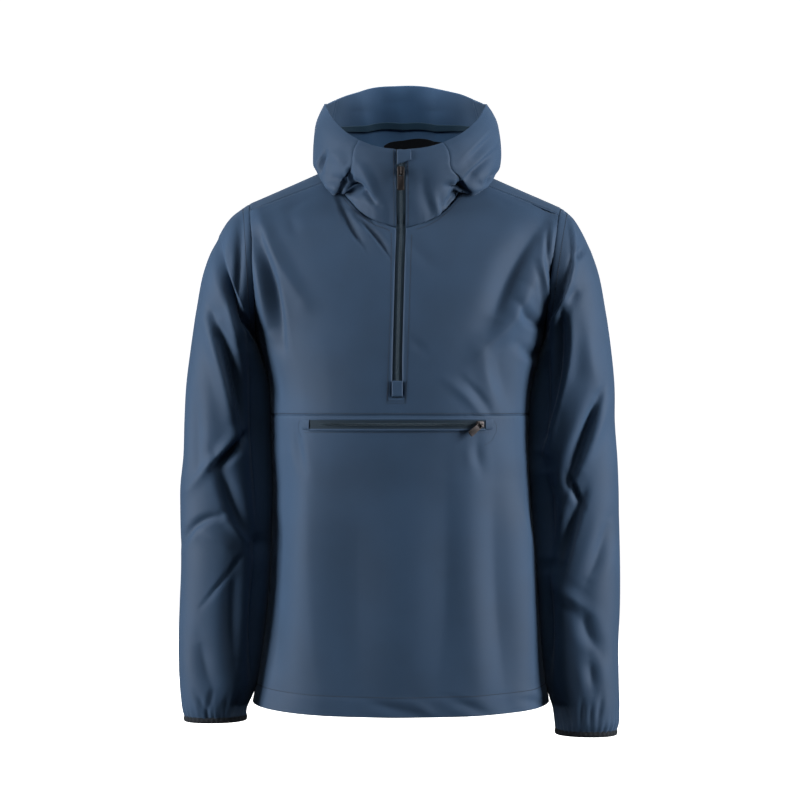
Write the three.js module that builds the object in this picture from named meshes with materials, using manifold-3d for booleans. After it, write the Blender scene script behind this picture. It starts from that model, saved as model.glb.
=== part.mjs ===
// An anorak pullover, filled out as if worn, with nobody inside it.
// Millimetres, +Z up, the front faces -Y and the wearer's left arm is on +X.
// The origin is the middle of the neck, level with the high points of the shoulders.
import * as THREE from "three";
import * as BufferGeometryUtils from "three/addons/utils/BufferGeometryUtils.js";
import Module from "manifold-3d";

// Cloth and seams
const CLOTH = 1.8;
const SEAM_GAP = 0.3;
const RAISED = 0.35;

// Torso, as level sections from the neck down to the hem
const NECK_HALF_WIDTH = { left: 87, right: 83 };
const TORSO_DEPTHS = [
  { level: 14, front: 46, back: 52, roundness: 2.0 },
  { level: 0, front: 56, back: 66, roundness: 2.0 },
  { level: -24, front: 67, back: 84, roundness: 2.0 },
  { level: -40, front: 75, back: 93, roundness: 2.05 },
  { level: -57, front: 86, back: 101, roundness: 2.1 },
  { level: -76, front: 99, back: 108, roundness: 2.1 },
  { level: -94, front: 109, back: 114, roundness: 2.15 },
  { level: -120, front: 119, back: 120, roundness: 2.2 },
  { level: -150, front: 127, back: 124, roundness: 2.25 },
  { level: -190, front: 133, back: 126, roundness: 2.3 },
  { level: -235, front: 137, back: 125, roundness: 2.35 },
  { level: -345, front: 138, back: 116, roundness: 2.35 },
  { level: -462, front: 133, back: 108, roundness: 2.3 },
  { level: -600, front: 130, back: 114, roundness: 2.3 },
  { level: -760, front: 129, back: 125, roundness: 2.3 },
];
const TORSO_WIDTHS = [
  { level: -230, left: 202, right: 197 },
  { level: -266, left: 193, right: 188 },
  { level: -294, left: 185, right: 181 },
  { level: -324, left: 181, right: 175 },
  { level: -414, left: 179, right: 174 },
  { level: -462, left: 178, right: 177 },
  { level: -500, left: 181, right: 181 },
  { level: -563, left: 183, right: 184 },
  { level: -624, left: 188, right: 189 },
  { level: -683, left: 196, right: 194 },
  { level: -742, left: 206, right: 203 },
  { level: -760, left: 208, right: 204 },
];
const ARMHOLE = {
  left: { topX: 211, topZ: -54.5, middleX: 201, bottomX: 201.5, bottomZ: -235 },
  right: { topX: 220, topZ: -60, middleX: 202, bottomX: 197.8, bottomZ: -232 },
};
const ARMHOLE_HALF_DEPTH = 82;
const ARMHOLE_ROUNDNESS = 2.2;
const ARMHOLE_TURNS = [0, 12, 32, 50, 68, 86, 104, 122, 140, 158, 170, 180];
const SHOULDER_SEAM_TURN = 32;
const BACK_ARC_TURN = 50;
const CHEST_SEAM_LEVEL = -345;
const SIDE_LEVELS = [-345, -308, -271];
const BODY_LEVELS = [-737, -700, -655, -600, -545, -495, -445, -395];
const HEM_DROP = 9;

// Neck opening, seen from above
const NECK = { halfWidth: 90, centreY: -22, front: 86, back: 88, roundness: 2.3 };
const NECK_TURNS = [12, 24, 38, 56, 65, 74, 88, 104, 120, 140, 160, 180];
const SHOULDER_AT_NECK_TURN = 74;
const COLLAR_SEAM = { neckTurn: 56, rimTurn: { left: 31, right: 26 }, easesBy: 104, leansBy: 0.54 };
const RESTS_FROM_TURN = 38;
const HOOD_SEAM_TURN = 120;
const SHOULDER_COLUMNS = 6;
const SHOULDER_RANGE = { low: -130, high: 13, steps: 40 };

// Main zip
const ZIP_HALF_OPENING = 6.4;
const ZIP_BOTTOM_LEVEL = -321;
const ZIP_NECK_LEVEL = -94;
const ZIP_LEAN = [
  { level: 20, x: -2 },
  { level: -94, x: -1.4 },
  { level: -150, x: -3.2 },
  { level: -300, x: -6.8 },
  { level: -345, x: -6.9 },
];

// Sleeves: each section runs from an outer point to an inner one, with a depth front to back
const SLEEVE = {
  left: [
    { outerX: 236, outerZ: -74, innerX: 201, innerZ: -247, halfDepth: 83, centreY: 0 },
    { outerX: 256, outerZ: -106, innerX: 196.6, innerZ: -260, halfDepth: 82, centreY: 0 },
    { outerX: 272, outerZ: -145, innerX: 192.4, innerZ: -274, halfDepth: 79, centreY: -1 },
    { outerX: 283, outerZ: -200, innerX: 187.4, innerZ: -292, halfDepth: 74, centreY: -2 },
    { outerX: 291, outerZ: -254, innerX: 183.6, innerZ: -318, halfDepth: 69, centreY: -3 },
    { outerX: 297, outerZ: -303, innerX: 181.6, innerZ: -345, halfDepth: 65, centreY: -4 },
    { outerX: 299.5, outerZ: -352, innerX: 181, innerZ: -376, halfDepth: 62, centreY: -4 },
    { outerX: 301, outerZ: -402, innerX: 180.2, innerZ: -414, halfDepth: 60, centreY: -5 },
    { outerX: 305, outerZ: -441, innerX: 179.4, innerZ: -446, halfDepth: 59, centreY: -6 },
    { outerX: 305, outerZ: -476, innerX: 180.4, innerZ: -478, halfDepth: 58, centreY: -8 },
    { outerX: 304, outerZ: -512, innerX: 182.6, innerZ: -512, halfDepth: 57, centreY: -10 },
    { outerX: 303.5, outerZ: -556, innerX: 184.4, innerZ: -556, halfDepth: 56, centreY: -13 },
    { outerX: 305, outerZ: -602, innerX: 187.4, innerZ: -602, halfDepth: 54, centreY: -16 },
    { outerX: 306, outerZ: -650, innerX: 193, innerZ: -650, halfDepth: 52, centreY: -20 },
    { outerX: 305, outerZ: -700, innerX: 201, innerZ: -699, halfDepth: 49, centreY: -24 },
    { outerX: 302.5, outerZ: -731, innerX: 208, innerZ: -730, halfDepth: 46, centreY: -26 },
    { outerX: 300, outerZ: -747, innerX: 212.5, innerZ: -746, halfDepth: 42, centreY: -27 },
    { outerX: 297, outerZ: -757, innerX: 213.5, innerZ: -756, halfDepth: 39, centreY: -27 },
  ],
  right: [
    { outerX: 236, outerZ: -75, innerX: 195.6, innerZ: -245, halfDepth: 83, centreY: 0 },
    { outerX: 253, outerZ: -104, innerX: 191.4, innerZ: -258, halfDepth: 82, centreY: 0 },
    { outerX: 269, outerZ: -145, innerX: 187.4, innerZ: -272, halfDepth: 79, centreY: -1 },
    { outerX: 280, outerZ: -200, innerX: 183.2, innerZ: -290, halfDepth: 74, centreY: -2 },
    { outerX: 288, outerZ: -255, innerX: 177.6, innerZ: -318, halfDepth: 69, centreY: -3 },
    { outerX: 292.5, outerZ: -303, innerX: 175.6, innerZ: -345, halfDepth: 65, centreY: -4 },
    { outerX: 293, outerZ: -352, innerX: 175.6, innerZ: -376, halfDepth: 62, centreY: -4 },
    { outerX: 296.5, outerZ: -404, innerX: 175.2, innerZ: -414, halfDepth: 60, centreY: -5 },
    { outerX: 298, outerZ: -442, innerX: 177.4, innerZ: -446, halfDepth: 59, centreY: -6 },
    { outerX: 298.5, outerZ: -478, innerX: 180, innerZ: -478, halfDepth: 58, centreY: -8 },
    { outerX: 299, outerZ: -514, innerX: 182.8, innerZ: -512, halfDepth: 57, centreY: -10 },
    { outerX: 299.5, outerZ: -558, innerX: 185.2, innerZ: -556, halfDepth: 56, centreY: -13 },
    { outerX: 299, outerZ: -606, innerX: 189, innerZ: -604, halfDepth: 54, centreY: -16 },
    { outerX: 296.5, outerZ: -658, innerX: 193.4, innerZ: -656, halfDepth: 52, centreY: -20 },
    { outerX: 297, outerZ: -712, innerX: 201.6, innerZ: -710, halfDepth: 49, centreY: -24 },
    { outerX: 297.5, outerZ: -748, innerX: 206.5, innerZ: -747, halfDepth: 46, centreY: -26 },
    { outerX: 296, outerZ: -768, innerX: 209.5, innerZ: -767, halfDepth: 42, centreY: -27 },
    { outerX: 293, outerZ: -776, innerX: 210.5, innerZ: -775, halfDepth: 39, centreY: -27 },
  ],
};
const SLEEVE_ROUNDNESS = 2.15;
const CUFF_GATHER = { sections: 4, depth: 1.6 };
const BINDING = { height: 5, proud: 0.6, thickness: 2.8 };

// Hood and collar: rings that climb from the neck seam to the rim
const HOOD_RINGS = [
  { left: 97, right: 98, front: -112, back: 88, frontZ: -68, sideZ: 1, backZ: -22, rest: 1 },
  { left: 107, right: 110, front: -114, back: 118, frontZ: -51, sideZ: -1, backZ: -60, rest: 1 },
  { left: 116, right: 125, front: -116, back: 150, frontZ: -36, sideZ: 2, backZ: -83, rest: 0.9 },
  { left: 121, right: 133, front: -118, back: 178, frontZ: -24, sideZ: 11, backZ: -76, rest: 0.6 },
  { left: 122, right: 136, front: -119, back: 194, frontZ: -14, sideZ: 25, backZ: -47, rest: 0.3 },
  { left: 121, right: 135, front: -119, back: 196, frontZ: -5, sideZ: 41, backZ: -10, rest: 0.1 },
  { left: 118, right: 131, front: -118, back: 184, frontZ: 1, sideZ: 58, backZ: 32, rest: 0 },
  { left: 112, right: 124, front: -117, back: 160, frontZ: 6, sideZ: 73, backZ: 80, rest: 0 },
  { left: 106, right: 116, front: -115, back: 130, frontZ: 10, sideZ: 84, backZ: 127, rest: 0 },
];
const HOOD = { centreY: -8, roundness: 2.2, frontDrop: 1.35, backRise: 1.6 };
const HOOD_CLEARANCE = { side: 4.5, back: 9, seam: 0.6 };
const HOOD_REST_TURNS = [36, 54, 100, 128];

// Folds of the cloth, as troughs (depth above 0) or ridges (below 0) between two points.
// A body fold is placed by its x, a sleeve fold by its turn, and both by their height z.
const FRONT_FOLDS = [
  { fromX: -196, fromZ: -100, toX: -163, toZ: -205, width: 13, depth: -4 },
  { fromX: -186, fromZ: -128, toX: -176, toZ: -225, width: 9, depth: 4 },
  { fromX: 190, fromZ: -110, toX: 206, toZ: -160, width: 10, depth: 3.5 },
  { fromX: 190, fromZ: -186, toX: 132, toZ: -240, width: 15, depth: 4 },
  { fromX: 184, fromZ: -216, toX: 120, toZ: -285, width: 15, depth: -3.5 },
  { fromX: 72, fromZ: -311, toX: 108, toZ: -345, width: 12, depth: 3 },
  { fromX: -150, fromZ: -480, toX: -168, toZ: -700, width: 26, depth: 4 },
  { fromX: 60, fromZ: -430, toX: 66, toZ: -730, width: 34, depth: 3.5 },
  { fromX: 148, fromZ: -500, toX: 166, toZ: -720, width: 22, depth: 4 },
];
const BACK_FOLDS = [
  { fromX: -186, fromZ: -180, toX: -120, toZ: -250, width: 18, depth: 4 },
  { fromX: 186, fromZ: -176, toX: 116, toZ: -252, width: 18, depth: 4 },
  { fromX: -70, fromZ: -420, toX: -84, toZ: -720, width: 34, depth: 5 },
  { fromX: 84, fromZ: -400, toX: 72, toZ: -720, width: 34, depth: 5 },
];
const SLEEVE_FOLDS = {
  left: [
    { fromTurn: 20, fromZ: -118, toTurn: 150, toZ: -240, width: 14, depth: 7 },
    { fromTurn: 78, fromZ: -205, toTurn: 138, toZ: -330, width: 16, depth: 7 },
    { fromTurn: 95, fromZ: -414, toTurn: 150, toZ: -440, width: 12, depth: 5 },
    { fromTurn: 5, fromZ: -502, toTurn: 165, toZ: -522, width: 13, depth: 7 },
    { fromTurn: 165, fromZ: -527, toTurn: 40, toZ: -603, width: 13, depth: 5 },
    { fromTurn: 230, fromZ: -430, toTurn: 310, toZ: -450, width: 18, depth: 6 },
    { fromTurn: 215, fromZ: -250, toTurn: 300, toZ: -190, width: 20, depth: 6 },
  ],
  right: [
    { fromTurn: 52, fromZ: -92, toTurn: 160, toZ: -236, width: 14, depth: 7 },
    { fromTurn: 80, fromZ: -210, toTurn: 140, toZ: -330, width: 16, depth: 6 },
    { fromTurn: 40, fromZ: -470, toTurn: 150, toZ: -436, width: 13, depth: 6 },
    { fromTurn: 60, fromZ: -468, toTurn: 165, toZ: -505, width: 12, depth: 5 },
    { fromTurn: 70, fromZ: -600, toTurn: 160, toZ: -571, width: 13, depth: 6 },
    { fromTurn: 230, fromZ: -440, toTurn: 310, toZ: -462, width: 18, depth: 6 },
    { fromTurn: 215, fromZ: -250, toTurn: 300, toZ: -190, width: 20, depth: 6 },
  ],
};
const SLEEVE_UNROLLED_RADIUS = 60;

// Zips, sliders and pulls
const TAPE = { thickness: 1.4, coilHalfWidth: 2.6, coilProud: 0.7, coilSlope: 0.3 };
const GARAGE = { top: 8.5, bottomLeft: -11.5, bottomRight: -5, fromX: -5, toX: 14, thickness: 1.2 };
const END_PATCH = { top: -299, bottom: -320, halfWidth: 7.2, thickness: 1 };
const PATCH_LIFT = 0.4;
const POCKET = { left: -122, right: 110, top: -350, bottom: -363.5, patch: 9.5, patchThickness: 1.6 };
const MAIN_SLIDER = { level: -19.5, length: 12, width: 9, thickness: 2, archReach: 4.2 };
const MAIN_TAB = { length: 27, width: 8.6, thickness: 1.6, window: [5, 6.2] };
const POCKET_SLIDER = { x: 102, level: -356.7, length: 11, width: 8.4, thickness: 2, archReach: 2.2 };
const POCKET_TAB = { length: 22, width: 8.4, thickness: 1.6, window: [6, 4.6], lean: 39 };
const ARCH = { width: 1.4, thickness: 1.1, clear: 3, shoulder: 0.6 };
const CROSSBAR = 1.6;
const PLATE_CORNER = { slider: 2, tab: 1.5 };

// Colours
const NAVY = 0x35495f;
const COLOURS = {
  cloth: { color: NAVY, roughness: 0.62, metalness: 0 },
  zip: { color: 0x24364a, roughness: 0.5, metalness: 0 },
  binding: { color: 0x14181f, roughness: 0.8, metalness: 0 },
  facing: { color: 0x0a0c10, roughness: 0.85, metalness: 0 },
  metal: { color: 0x2b3036, roughness: 0.4, metalness: 0.8 },
};

const SIDES = { left: -1, right: 1 };
const model = new THREE.Group();

const lerp = (a, b, t) => a + (b - a) * t;
const radians = (degrees) => (degrees * Math.PI) / 180;
const power = (value, exponent) => Math.sign(value) * Math.abs(value) ** exponent;
const point = (x, y, z) => new THREE.Vector3(x, y, z);

// A smooth curve through one column of a table, looked up by another column
function through(rows, by, key) {
  const sorted = [...rows].sort((a, b) => a[by] - b[by]);
  const at = sorted.map((row) => row[by]);
  const value = sorted.map((row) => row[key]);
  const last = at.length - 1;
  const slope = at.map((_, i) => {
    const before = Math.max(i - 1, 0);
    const after = Math.min(i + 1, last);
    return (value[after] - value[before]) / (at[after] - at[before]);
  });
  return (wanted) => {
    const x = Math.min(Math.max(wanted, at[0]), at[last]);
    const i = Math.min(Math.max(at.findIndex((a) => a >= x) - 1, 0), last - 1);
    const span = at[i + 1] - at[i];
    const t = (x - at[i]) / span;
    const keep = (1 + 2 * t) * (1 - t) ** 2 * value[i] + t * t * (3 - 2 * t) * value[i + 1];
    return keep + t * (1 - t) ** 2 * span * slope[i] - t * t * (1 - t) * span * slope[i + 1];
  };
}

const depthOf = {
  front: through(TORSO_DEPTHS, "level", "front"),
  back: through(TORSO_DEPTHS, "level", "back"),
};
const roundnessAt = through(TORSO_DEPTHS, "level", "roundness");
const widthOf = {
  left: through(TORSO_WIDTHS, "level", "left"),
  right: through(TORSO_WIDTHS, "level", "right"),
};
const zipX = through(ZIP_LEAN, "level", "x");

// How deep the folds in a list are at one place, where a and b are millimetres on the cloth
function foldDepth(folds, a, b) {
  let depth = 0;
  for (const fold of folds) {
    const alongA = fold.toA - fold.fromA;
    const alongB = fold.toB - fold.fromB;
    const length2 = alongA * alongA + alongB * alongB;
    const raw = ((a - fold.fromA) * alongA + (b - fold.fromB) * alongB) / length2;
    const t = Math.min(Math.max(raw, 0), 1);
    const off = Math.hypot(a - fold.fromA - t * alongA, b - fold.fromB - t * alongB);
    const fade = 0.35 + 0.65 * Math.sin(Math.PI * t);
    depth += fold.depth * fade * Math.exp(-((off / fold.width) ** 2));
  }
  return depth;
}

const bodyFolds = (folds) =>
  folds.map((f) => ({ ...f, fromA: f.fromX, fromB: f.fromZ, toA: f.toX, toB: f.toZ }));
const torsoFolds = { front: bodyFolds(FRONT_FOLDS), back: bodyFolds(BACK_FOLDS) };

// The armhole is an oval that starts at the shoulder, turn 0, and ends at the armpit, turn 180
function armholePoint(side, turn) {
  const hole = ARMHOLE[side];
  const rise = power(Math.cos(radians(turn)), 2 / ARMHOLE_ROUNDNESS);
  const reach = power(Math.sin(radians(turn)), 2 / ARMHOLE_ROUNDNESS);
  const middle = hole.middleX - (hole.topX + hole.bottomX) / 2;
  const x = lerp(hole.bottomX, hole.topX, (1 + rise) / 2) + middle * Math.sin(radians(turn));
  const z = lerp(hole.bottomZ, hole.topZ, (1 + rise) / 2);
  return { x, depth: ARMHOLE_HALF_DEPTH * reach, z };
}

function armholeTurnAt(side, level) {
  const hole = ARMHOLE[side];
  const rise = (2 * (level - hole.bottomZ)) / (hole.topZ - hole.bottomZ) - 1;
  const cosine = THREE.MathUtils.clamp(power(rise, ARMHOLE_ROUNDNESS / 2), -1, 1);
  return THREE.MathUtils.radToDeg(Math.acos(cosine));
}

// Where the torso's cloth ends at a level: on the shoulder ridge, the armhole or the side seam
function torsoEdge(side, level) {
  const hole = ARMHOLE[side];
  if (level >= hole.topZ) {
    const t = level / hole.topZ;
    return { x: lerp(NECK_HALF_WIDTH[side], hole.topX, t), depth: 0 };
  }
  if (level <= hole.bottomZ) return { x: widthOf[side](level), depth: 0 };
  return armholePoint(side, armholeTurnAt(side, level));
}

// The half width that a level section would reach if the armhole didn't cut it
function torsoReach(side, face, level) {
  const edge = torsoEdge(side, level);
  const n = roundnessAt(level);
  const share = Math.min(edge.depth / depthOf[face](level), 0.98);
  return edge.x / (1 - share ** n) ** (1 / n);
}

// The angle on a level section of a point at distance x from the middle
function torsoAngle(side, face, x, level) {
  const share = Math.min(Math.abs(x) / torsoReach(side, face, level), 1);
  return Math.asin(share ** (roundnessAt(level) / 2));
}

function torsoEdgeAngle(side, face, level) {
  return torsoAngle(side, face, torsoEdge(side, level).x, level);
}

// A point of the torso, and the same point moved in by the folds
function torsoPoint(side, face, angle, level) {
  const n = roundnessAt(level);
  const x = SIDES[side] * torsoReach(side, face, level) * power(Math.sin(angle), 2 / n);
  const y = depthOf[face](level) * power(Math.cos(angle), 2 / n);
  const faceSign = face === "front" ? -1 : 1;
  const calm = Math.sqrt(Math.max(Math.cos(angle), 0));
  const sunk = foldDepth(torsoFolds[face], x, level) * calm;
  return point(x - SIDES[side] * sunk * Math.sin(angle) ** 3, faceSign * (y - sunk), level);
}

// The level of the shoulders, as seen from above, found by halving a range of levels
function shoulderLevel(x, y) {
  const side = x < 0 ? "left" : "right";
  const face = y < 0 ? "front" : "back";
  let { low, high } = SHOULDER_RANGE;
  for (let step = 0; step < SHOULDER_RANGE.steps; step += 1) {
    const level = (low + high) / 2;
    const n = roundnessAt(level);
    const inX = (Math.abs(x) / torsoReach(side, face, level)) ** n;
    const inY = (Math.abs(y) / depthOf[face](level)) ** n;
    if (inX + inY > 1) high = level;
    else low = level;
  }
  return (low + high) / 2;
}

function neckPoint(side, turn) {
  const a = radians(turn);
  const x = SIDES[side] * NECK.halfWidth * power(Math.sin(a), 2 / NECK.roundness);
  const reach = Math.cos(a) > 0 ? NECK.front : NECK.back;
  const y = NECK.centreY - reach * power(Math.cos(a), 2 / NECK.roundness);
  return point(x, y, shoulderLevel(x, y));
}

function zipEdgeX(side, level) {
  return zipX(level) + SIDES[side] * ZIP_HALF_OPENING;
}

// The top of the zip's slit, where it meets the neck seam
function zipNeckPoint(side) {
  const x = zipEdgeX(side, ZIP_NECK_LEVEL);
  return torsoPoint(side, "front", torsoAngle(side, "front", x, ZIP_NECK_LEVEL), ZIP_NECK_LEVEL);
}

function shoulderSeamPoint(side, t) {
  const start = neckPoint(side, SHOULDER_AT_NECK_TURN);
  const hole = armholePoint(side, SHOULDER_SEAM_TURN);
  const x = lerp(Math.abs(start.x), hole.x, t);
  const level = lerp(start.z, hole.z, t);
  return torsoPoint(side, "front", torsoAngle(side, "front", x, level), level);
}

// Fills a grid from its four edges; a place is any list of numbers
function fillGrid(bottom, top, first, last) {
  const rows = first.length - 1;
  const columns = bottom.length - 1;
  const grid = [];
  for (let j = 0; j <= rows; j += 1) {
    const v = j / rows;
    grid.push(
      bottom.map((_, i) => {
        const u = i / columns;
        return bottom[0].map((_, k) => {
          const corners = lerp(lerp(bottom[0][k], bottom[columns][k], u),
            lerp(top[0][k], top[columns][k], u), v);
          return lerp(bottom[i][k], top[i][k], v) + lerp(first[j][k], last[j][k], u) - corners;
        });
      }),
    );
  }
  return grid;
}

// The outward direction of the cloth at each point of a grid
function normalsOf(grid, closed) {
  const rows = grid.length - 1;
  const columns = grid[0].length - 1;
  return grid.map((row, j) =>
    row.map((_, i) => {
      const before = closed ? (i + columns - 1) % columns : Math.max(i - 1, 0);
      const after = closed ? (i + 1) % columns : Math.min(i + 1, columns);
      const across = grid[j][after].clone().sub(grid[j][before]);
      const up = grid[Math.min(j + 1, rows)][i].clone().sub(grid[Math.max(j - 1, 0)][i]);
      return across.cross(up).normalize();
    }),
  );
}

function shift(p, towards, by) {
  return p.addScaledVector(towards.clone().sub(p).normalize(), by);
}

// A wall of cloth: its outer points, and the same points moved in by the thickness.
// Rows go up and columns go anticlockwise seen from above; missing cells leave a slit.
// A mitre draws an inner edge back, where two walls meet at a corner.
function wall(name, grid, finish, options = {}) {
  const { thickness = CLOTH, closed = false, missing = () => false, out = 0 } = options;
  const { mitre = {} } = options;
  const rows = grid.length - 1;
  const columns = grid[0].length - 1;
  const normals = normalsOf(grid, closed);
  const positions = [];
  const index = [];
  const columnOf = (i) => (closed ? i % columns : i);
  const stride = closed ? columns : columns + 1;
  for (const depth of [out, out - thickness]) {
    for (let j = 0; j <= rows; j += 1) {
      for (let i = 0; i < stride; i += 1) {
        const p = grid[j][i].clone().addScaledVector(normals[j][i], depth);
        if (depth < out) {
          if (mitre.top && j === rows) shift(p, grid[rows - 1][i], mitre.top);
          if (mitre.first && i === 0) shift(p, grid[j][1], mitre.first);
          if (mitre.last && i === columns) shift(p, grid[j][columns - 1], mitre.last);
        }
        positions.push(p.x, p.y, p.z);
      }
    }
  }
  const inner = stride * (rows + 1);
  const at = (j, i) => j * stride + columnOf(i);
  const there = (j, i) => {
    const inside = j >= 0 && j < rows && (closed || (i >= 0 && i < columns));
    return inside && !missing(j, closed ? (i + columns) % columns : i);
  };
  const quad = (a, b, c, d) => index.push(a, b, c, a, c, d);
  for (let j = 0; j < rows; j += 1) {
    for (let i = 0; i < columns; i += 1) {
      if (!there(j, i)) continue;
      const [a, b, c, d] = [at(j, i), at(j, i + 1), at(j + 1, i + 1), at(j + 1, i)];
      quad(a, b, c, d);
      quad(inner + a, inner + d, inner + c, inner + b);
      if (!there(j - 1, i)) quad(a, inner + a, inner + b, b);
      if (!there(j, i + 1)) quad(b, inner + b, inner + c, c);
      if (!there(j + 1, i)) quad(c, inner + c, inner + d, d);
      if (!there(j, i - 1)) quad(d, inner + d, inner + a, a);
    }
  }
  const geometry = new THREE.BufferGeometry();
  geometry.setAttribute("position", new THREE.Float32BufferAttribute(positions, 3));
  geometry.setIndex(index);
  addMesh(name, geometry, finish);
}

function addMesh(name, geometry, finish) {
  const mesh = new THREE.Mesh(geometry, new THREE.MeshStandardMaterial(COLOURS[finish]));
  mesh.name = name;
  model.add(mesh);
  return mesh;
}

// Draws the edges of a grid in by half a seam gap
function trimmed(grid, edges) {
  const copy = grid.map((row) => row.map((p) => p.clone()));
  const rows = grid.length - 1;
  const columns = grid[0].length - 1;
  for (let j = 0; j <= rows; j += 1) {
    if (edges.first) shift(copy[j][0], grid[j][1], edges.first);
    if (edges.last) shift(copy[j][columns], grid[j][columns - 1], edges.last);
  }
  for (let i = 0; i <= columns; i += 1) {
    if (edges.bottom) shift(copy[0][i], grid[1][i], edges.bottom);
    if (edges.top) shift(copy[rows][i], grid[rows - 1][i], edges.top);
  }
  return copy;
}

const HALF_GAP = SEAM_GAP / 2;
const TIGHT_SEAM = 0.4;
const CORNER = 0.9;
const HOOD_CORNER = 1.6;
const armholeLevel = (side, turn) => armholePoint(side, turn).z;

// Upper front

// The neck and shoulder columns of one half of the front, from the zip to the armhole
function frontTopEdge(side) {
  const neck = NECK_TURNS.filter((turn) => turn <= SHOULDER_AT_NECK_TURN);
  const points = [zipNeckPoint(side), ...neck.map((turn) => neckPoint(side, turn))];
  for (let i = 1; i <= SHOULDER_COLUMNS; i += 1) {
    points.push(shoulderSeamPoint(side, i / SHOULDER_COLUMNS));
  }
  return points;
}

function frontEdgeLevels(side) {
  const turns = [...ARMHOLE_TURNS].reverse().filter((turn) => turn >= SHOULDER_SEAM_TURN);
  return [...SIDE_LEVELS, ...turns.map((turn) => armholeLevel(side, turn))];
}

function upperFrontHalf(side) {
  const place = (p) => [torsoAngle(side, "front", p.x, p.z), p.z];
  const top = frontTopEdge(side).map(place);
  const levels = frontEdgeLevels(side);
  const highest = levels[levels.length - 1];
  const last = levels.map((level) => [torsoEdgeAngle(side, "front", level), level]);
  const first = levels.map((level) => {
    const t = (level - levels[0]) / (highest - levels[0]);
    const z = lerp(levels[0], top[0][1], t);
    return [torsoAngle(side, "front", zipEdgeX(side, z), z), z];
  });
  const columns = top.length - 1;
  const bottom = top.map((_, i) => [lerp(first[0][0], last[0][0], i / columns), levels[0]]);
  const angles = fillGrid(bottom, top, first, last);
  return angles.map((row) => row.map(([angle, level]) => torsoPoint(side, "front", angle, level)));
}

// Joins a left half, mirrored in its column order, to a right half
function joinHalves(left, right) {
  return left.map((row, j) => [...[...row].reverse(), ...right[j]]);
}

const upperHalves = { left: upperFrontHalf("left"), right: upperFrontHalf("right") };
const upperGrid = joinHalves(upperHalves.left, upperHalves.right);
const SLIT_COLUMN = upperHalves.left[0].length - 1;
const slitStart = upperHalves.left.findIndex((row) => row[0].z > ZIP_BOTTOM_LEVEL) - 1;
upperGrid[slitStart + 1].forEach((p, i) => {
  if (i === SLIT_COLUMN || i === SLIT_COLUMN + 1) p.z = ZIP_BOTTOM_LEVEL;
});

wall("upper_front",
  trimmed(upperGrid, { first: HALF_GAP, last: HALF_GAP, bottom: HALF_GAP, top: TIGHT_SEAM }),
  "cloth",
  {
    missing: (j, i) => i === SLIT_COLUMN && j > slitStart,
    mitre: { first: CORNER, last: CORNER },
  });

// Lower front

function lowerFrontGrid() {
  const top = upperGrid[0];
  const levels = [...BODY_LEVELS, CHEST_SEAM_LEVEL];
  return levels.map((level) =>
    top.map((p, i) => {
      const side = i <= SLIT_COLUMN ? "left" : "right";
      const angle = torsoAngle(side, "front", p.x, CHEST_SEAM_LEVEL);
      const share = (CHEST_SEAM_LEVEL - level) / (CHEST_SEAM_LEVEL - BODY_LEVELS[0]);
      return torsoPoint(side, "front", angle, level - HEM_DROP * share * Math.cos(angle));
    }),
  );
}

const lowerGrid = lowerFrontGrid();
wall("lower_front", trimmed(lowerGrid, { first: HALF_GAP, last: HALF_GAP, top: HALF_GAP }),
  "cloth");

// Back, which runs over the shoulders to the forward shoulder seams

const SHOULDER_TURNS = ARMHOLE_TURNS.filter((turn) => turn <= BACK_ARC_TURN);

// A level row of the back, from the right edge to the left one; hem is its share of the hem's drop
function backRow(levelOf, columns, hem = 0) {
  const ends = { left: levelOf("left"), right: levelOf("right") };
  const reach = {
    left: torsoEdgeAngle("left", "back", ends.left),
    right: torsoEdgeAngle("right", "back", ends.right),
  };
  return Array.from({ length: columns + 1 }, (_, i) => {
    const t = i / columns;
    const angle = lerp(reach.right, -reach.left, t);
    const level = lerp(ends.right, ends.left, t) - HEM_DROP * hem * Math.cos(angle);
    return torsoPoint(angle > 0 ? "right" : "left", "back", Math.abs(angle), level);
  });
}

// The armhole from the back arc, over the shoulder, to the forward shoulder seam
function overShoulder(side) {
  const behind = [...SHOULDER_TURNS].reverse().map((turn) => ({ turn, sign: 1 }));
  const ahead = SHOULDER_TURNS.filter((turn) => turn > 0 && turn <= SHOULDER_SEAM_TURN);
  return [...behind, ...ahead.map((turn) => ({ turn, sign: -1 }))].map(({ turn, sign }) => {
    const p = armholePoint(side, turn);
    return point(SIDES[side] * p.x, sign * p.depth, p.z);
  });
}

function backTopEdge() {
  const half = (side) => {
    const points = [];
    for (let i = SHOULDER_COLUMNS; i > 0; i -= 1) {
      points.push(shoulderSeamPoint(side, i / SHOULDER_COLUMNS));
    }
    const turns = NECK_TURNS.filter((turn) => turn >= SHOULDER_AT_NECK_TURN);
    return [...points, ...turns.map((turn) => neckPoint(side, turn))];
  };
  return [...half("right"), ...half("left").reverse().slice(1)];
}

function backGrid() {
  const top = backTopEdge();
  const columns = top.length - 1;
  const rows = BODY_LEVELS.map((level, j) => {
    return backRow(() => level, columns, 1 - j / BODY_LEVELS.length);
  });
  SIDE_LEVELS.forEach((level) => rows.push(backRow(() => level, columns)));
  const turns = [...ARMHOLE_TURNS].reverse().filter((turn) => turn >= BACK_ARC_TURN);
  turns.forEach((turn) => rows.push(backRow((side) => armholeLevel(side, turn), columns)));
  const arc = rows.pop();
  const plan = (p) => [p.x, p.y];
  const ends = { right: overShoulder("right"), left: overShoulder("left") };
  const filled = fillGrid(arc.map(plan), top.map(plan), ends.right.map(plan), ends.left.map(plan));
  filled.forEach((row, j) => {
    rows.push(
      row.map(([x, y], i) => {
        if (j === 0) return arc[i];
        if (j === filled.length - 1) return top[i];
        if (i === 0) return ends.right[j];
        if (i === columns) return ends.left[j];
        return point(x, y, shoulderLevel(x, y));
      }),
    );
  });
  return rows;
}

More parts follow.
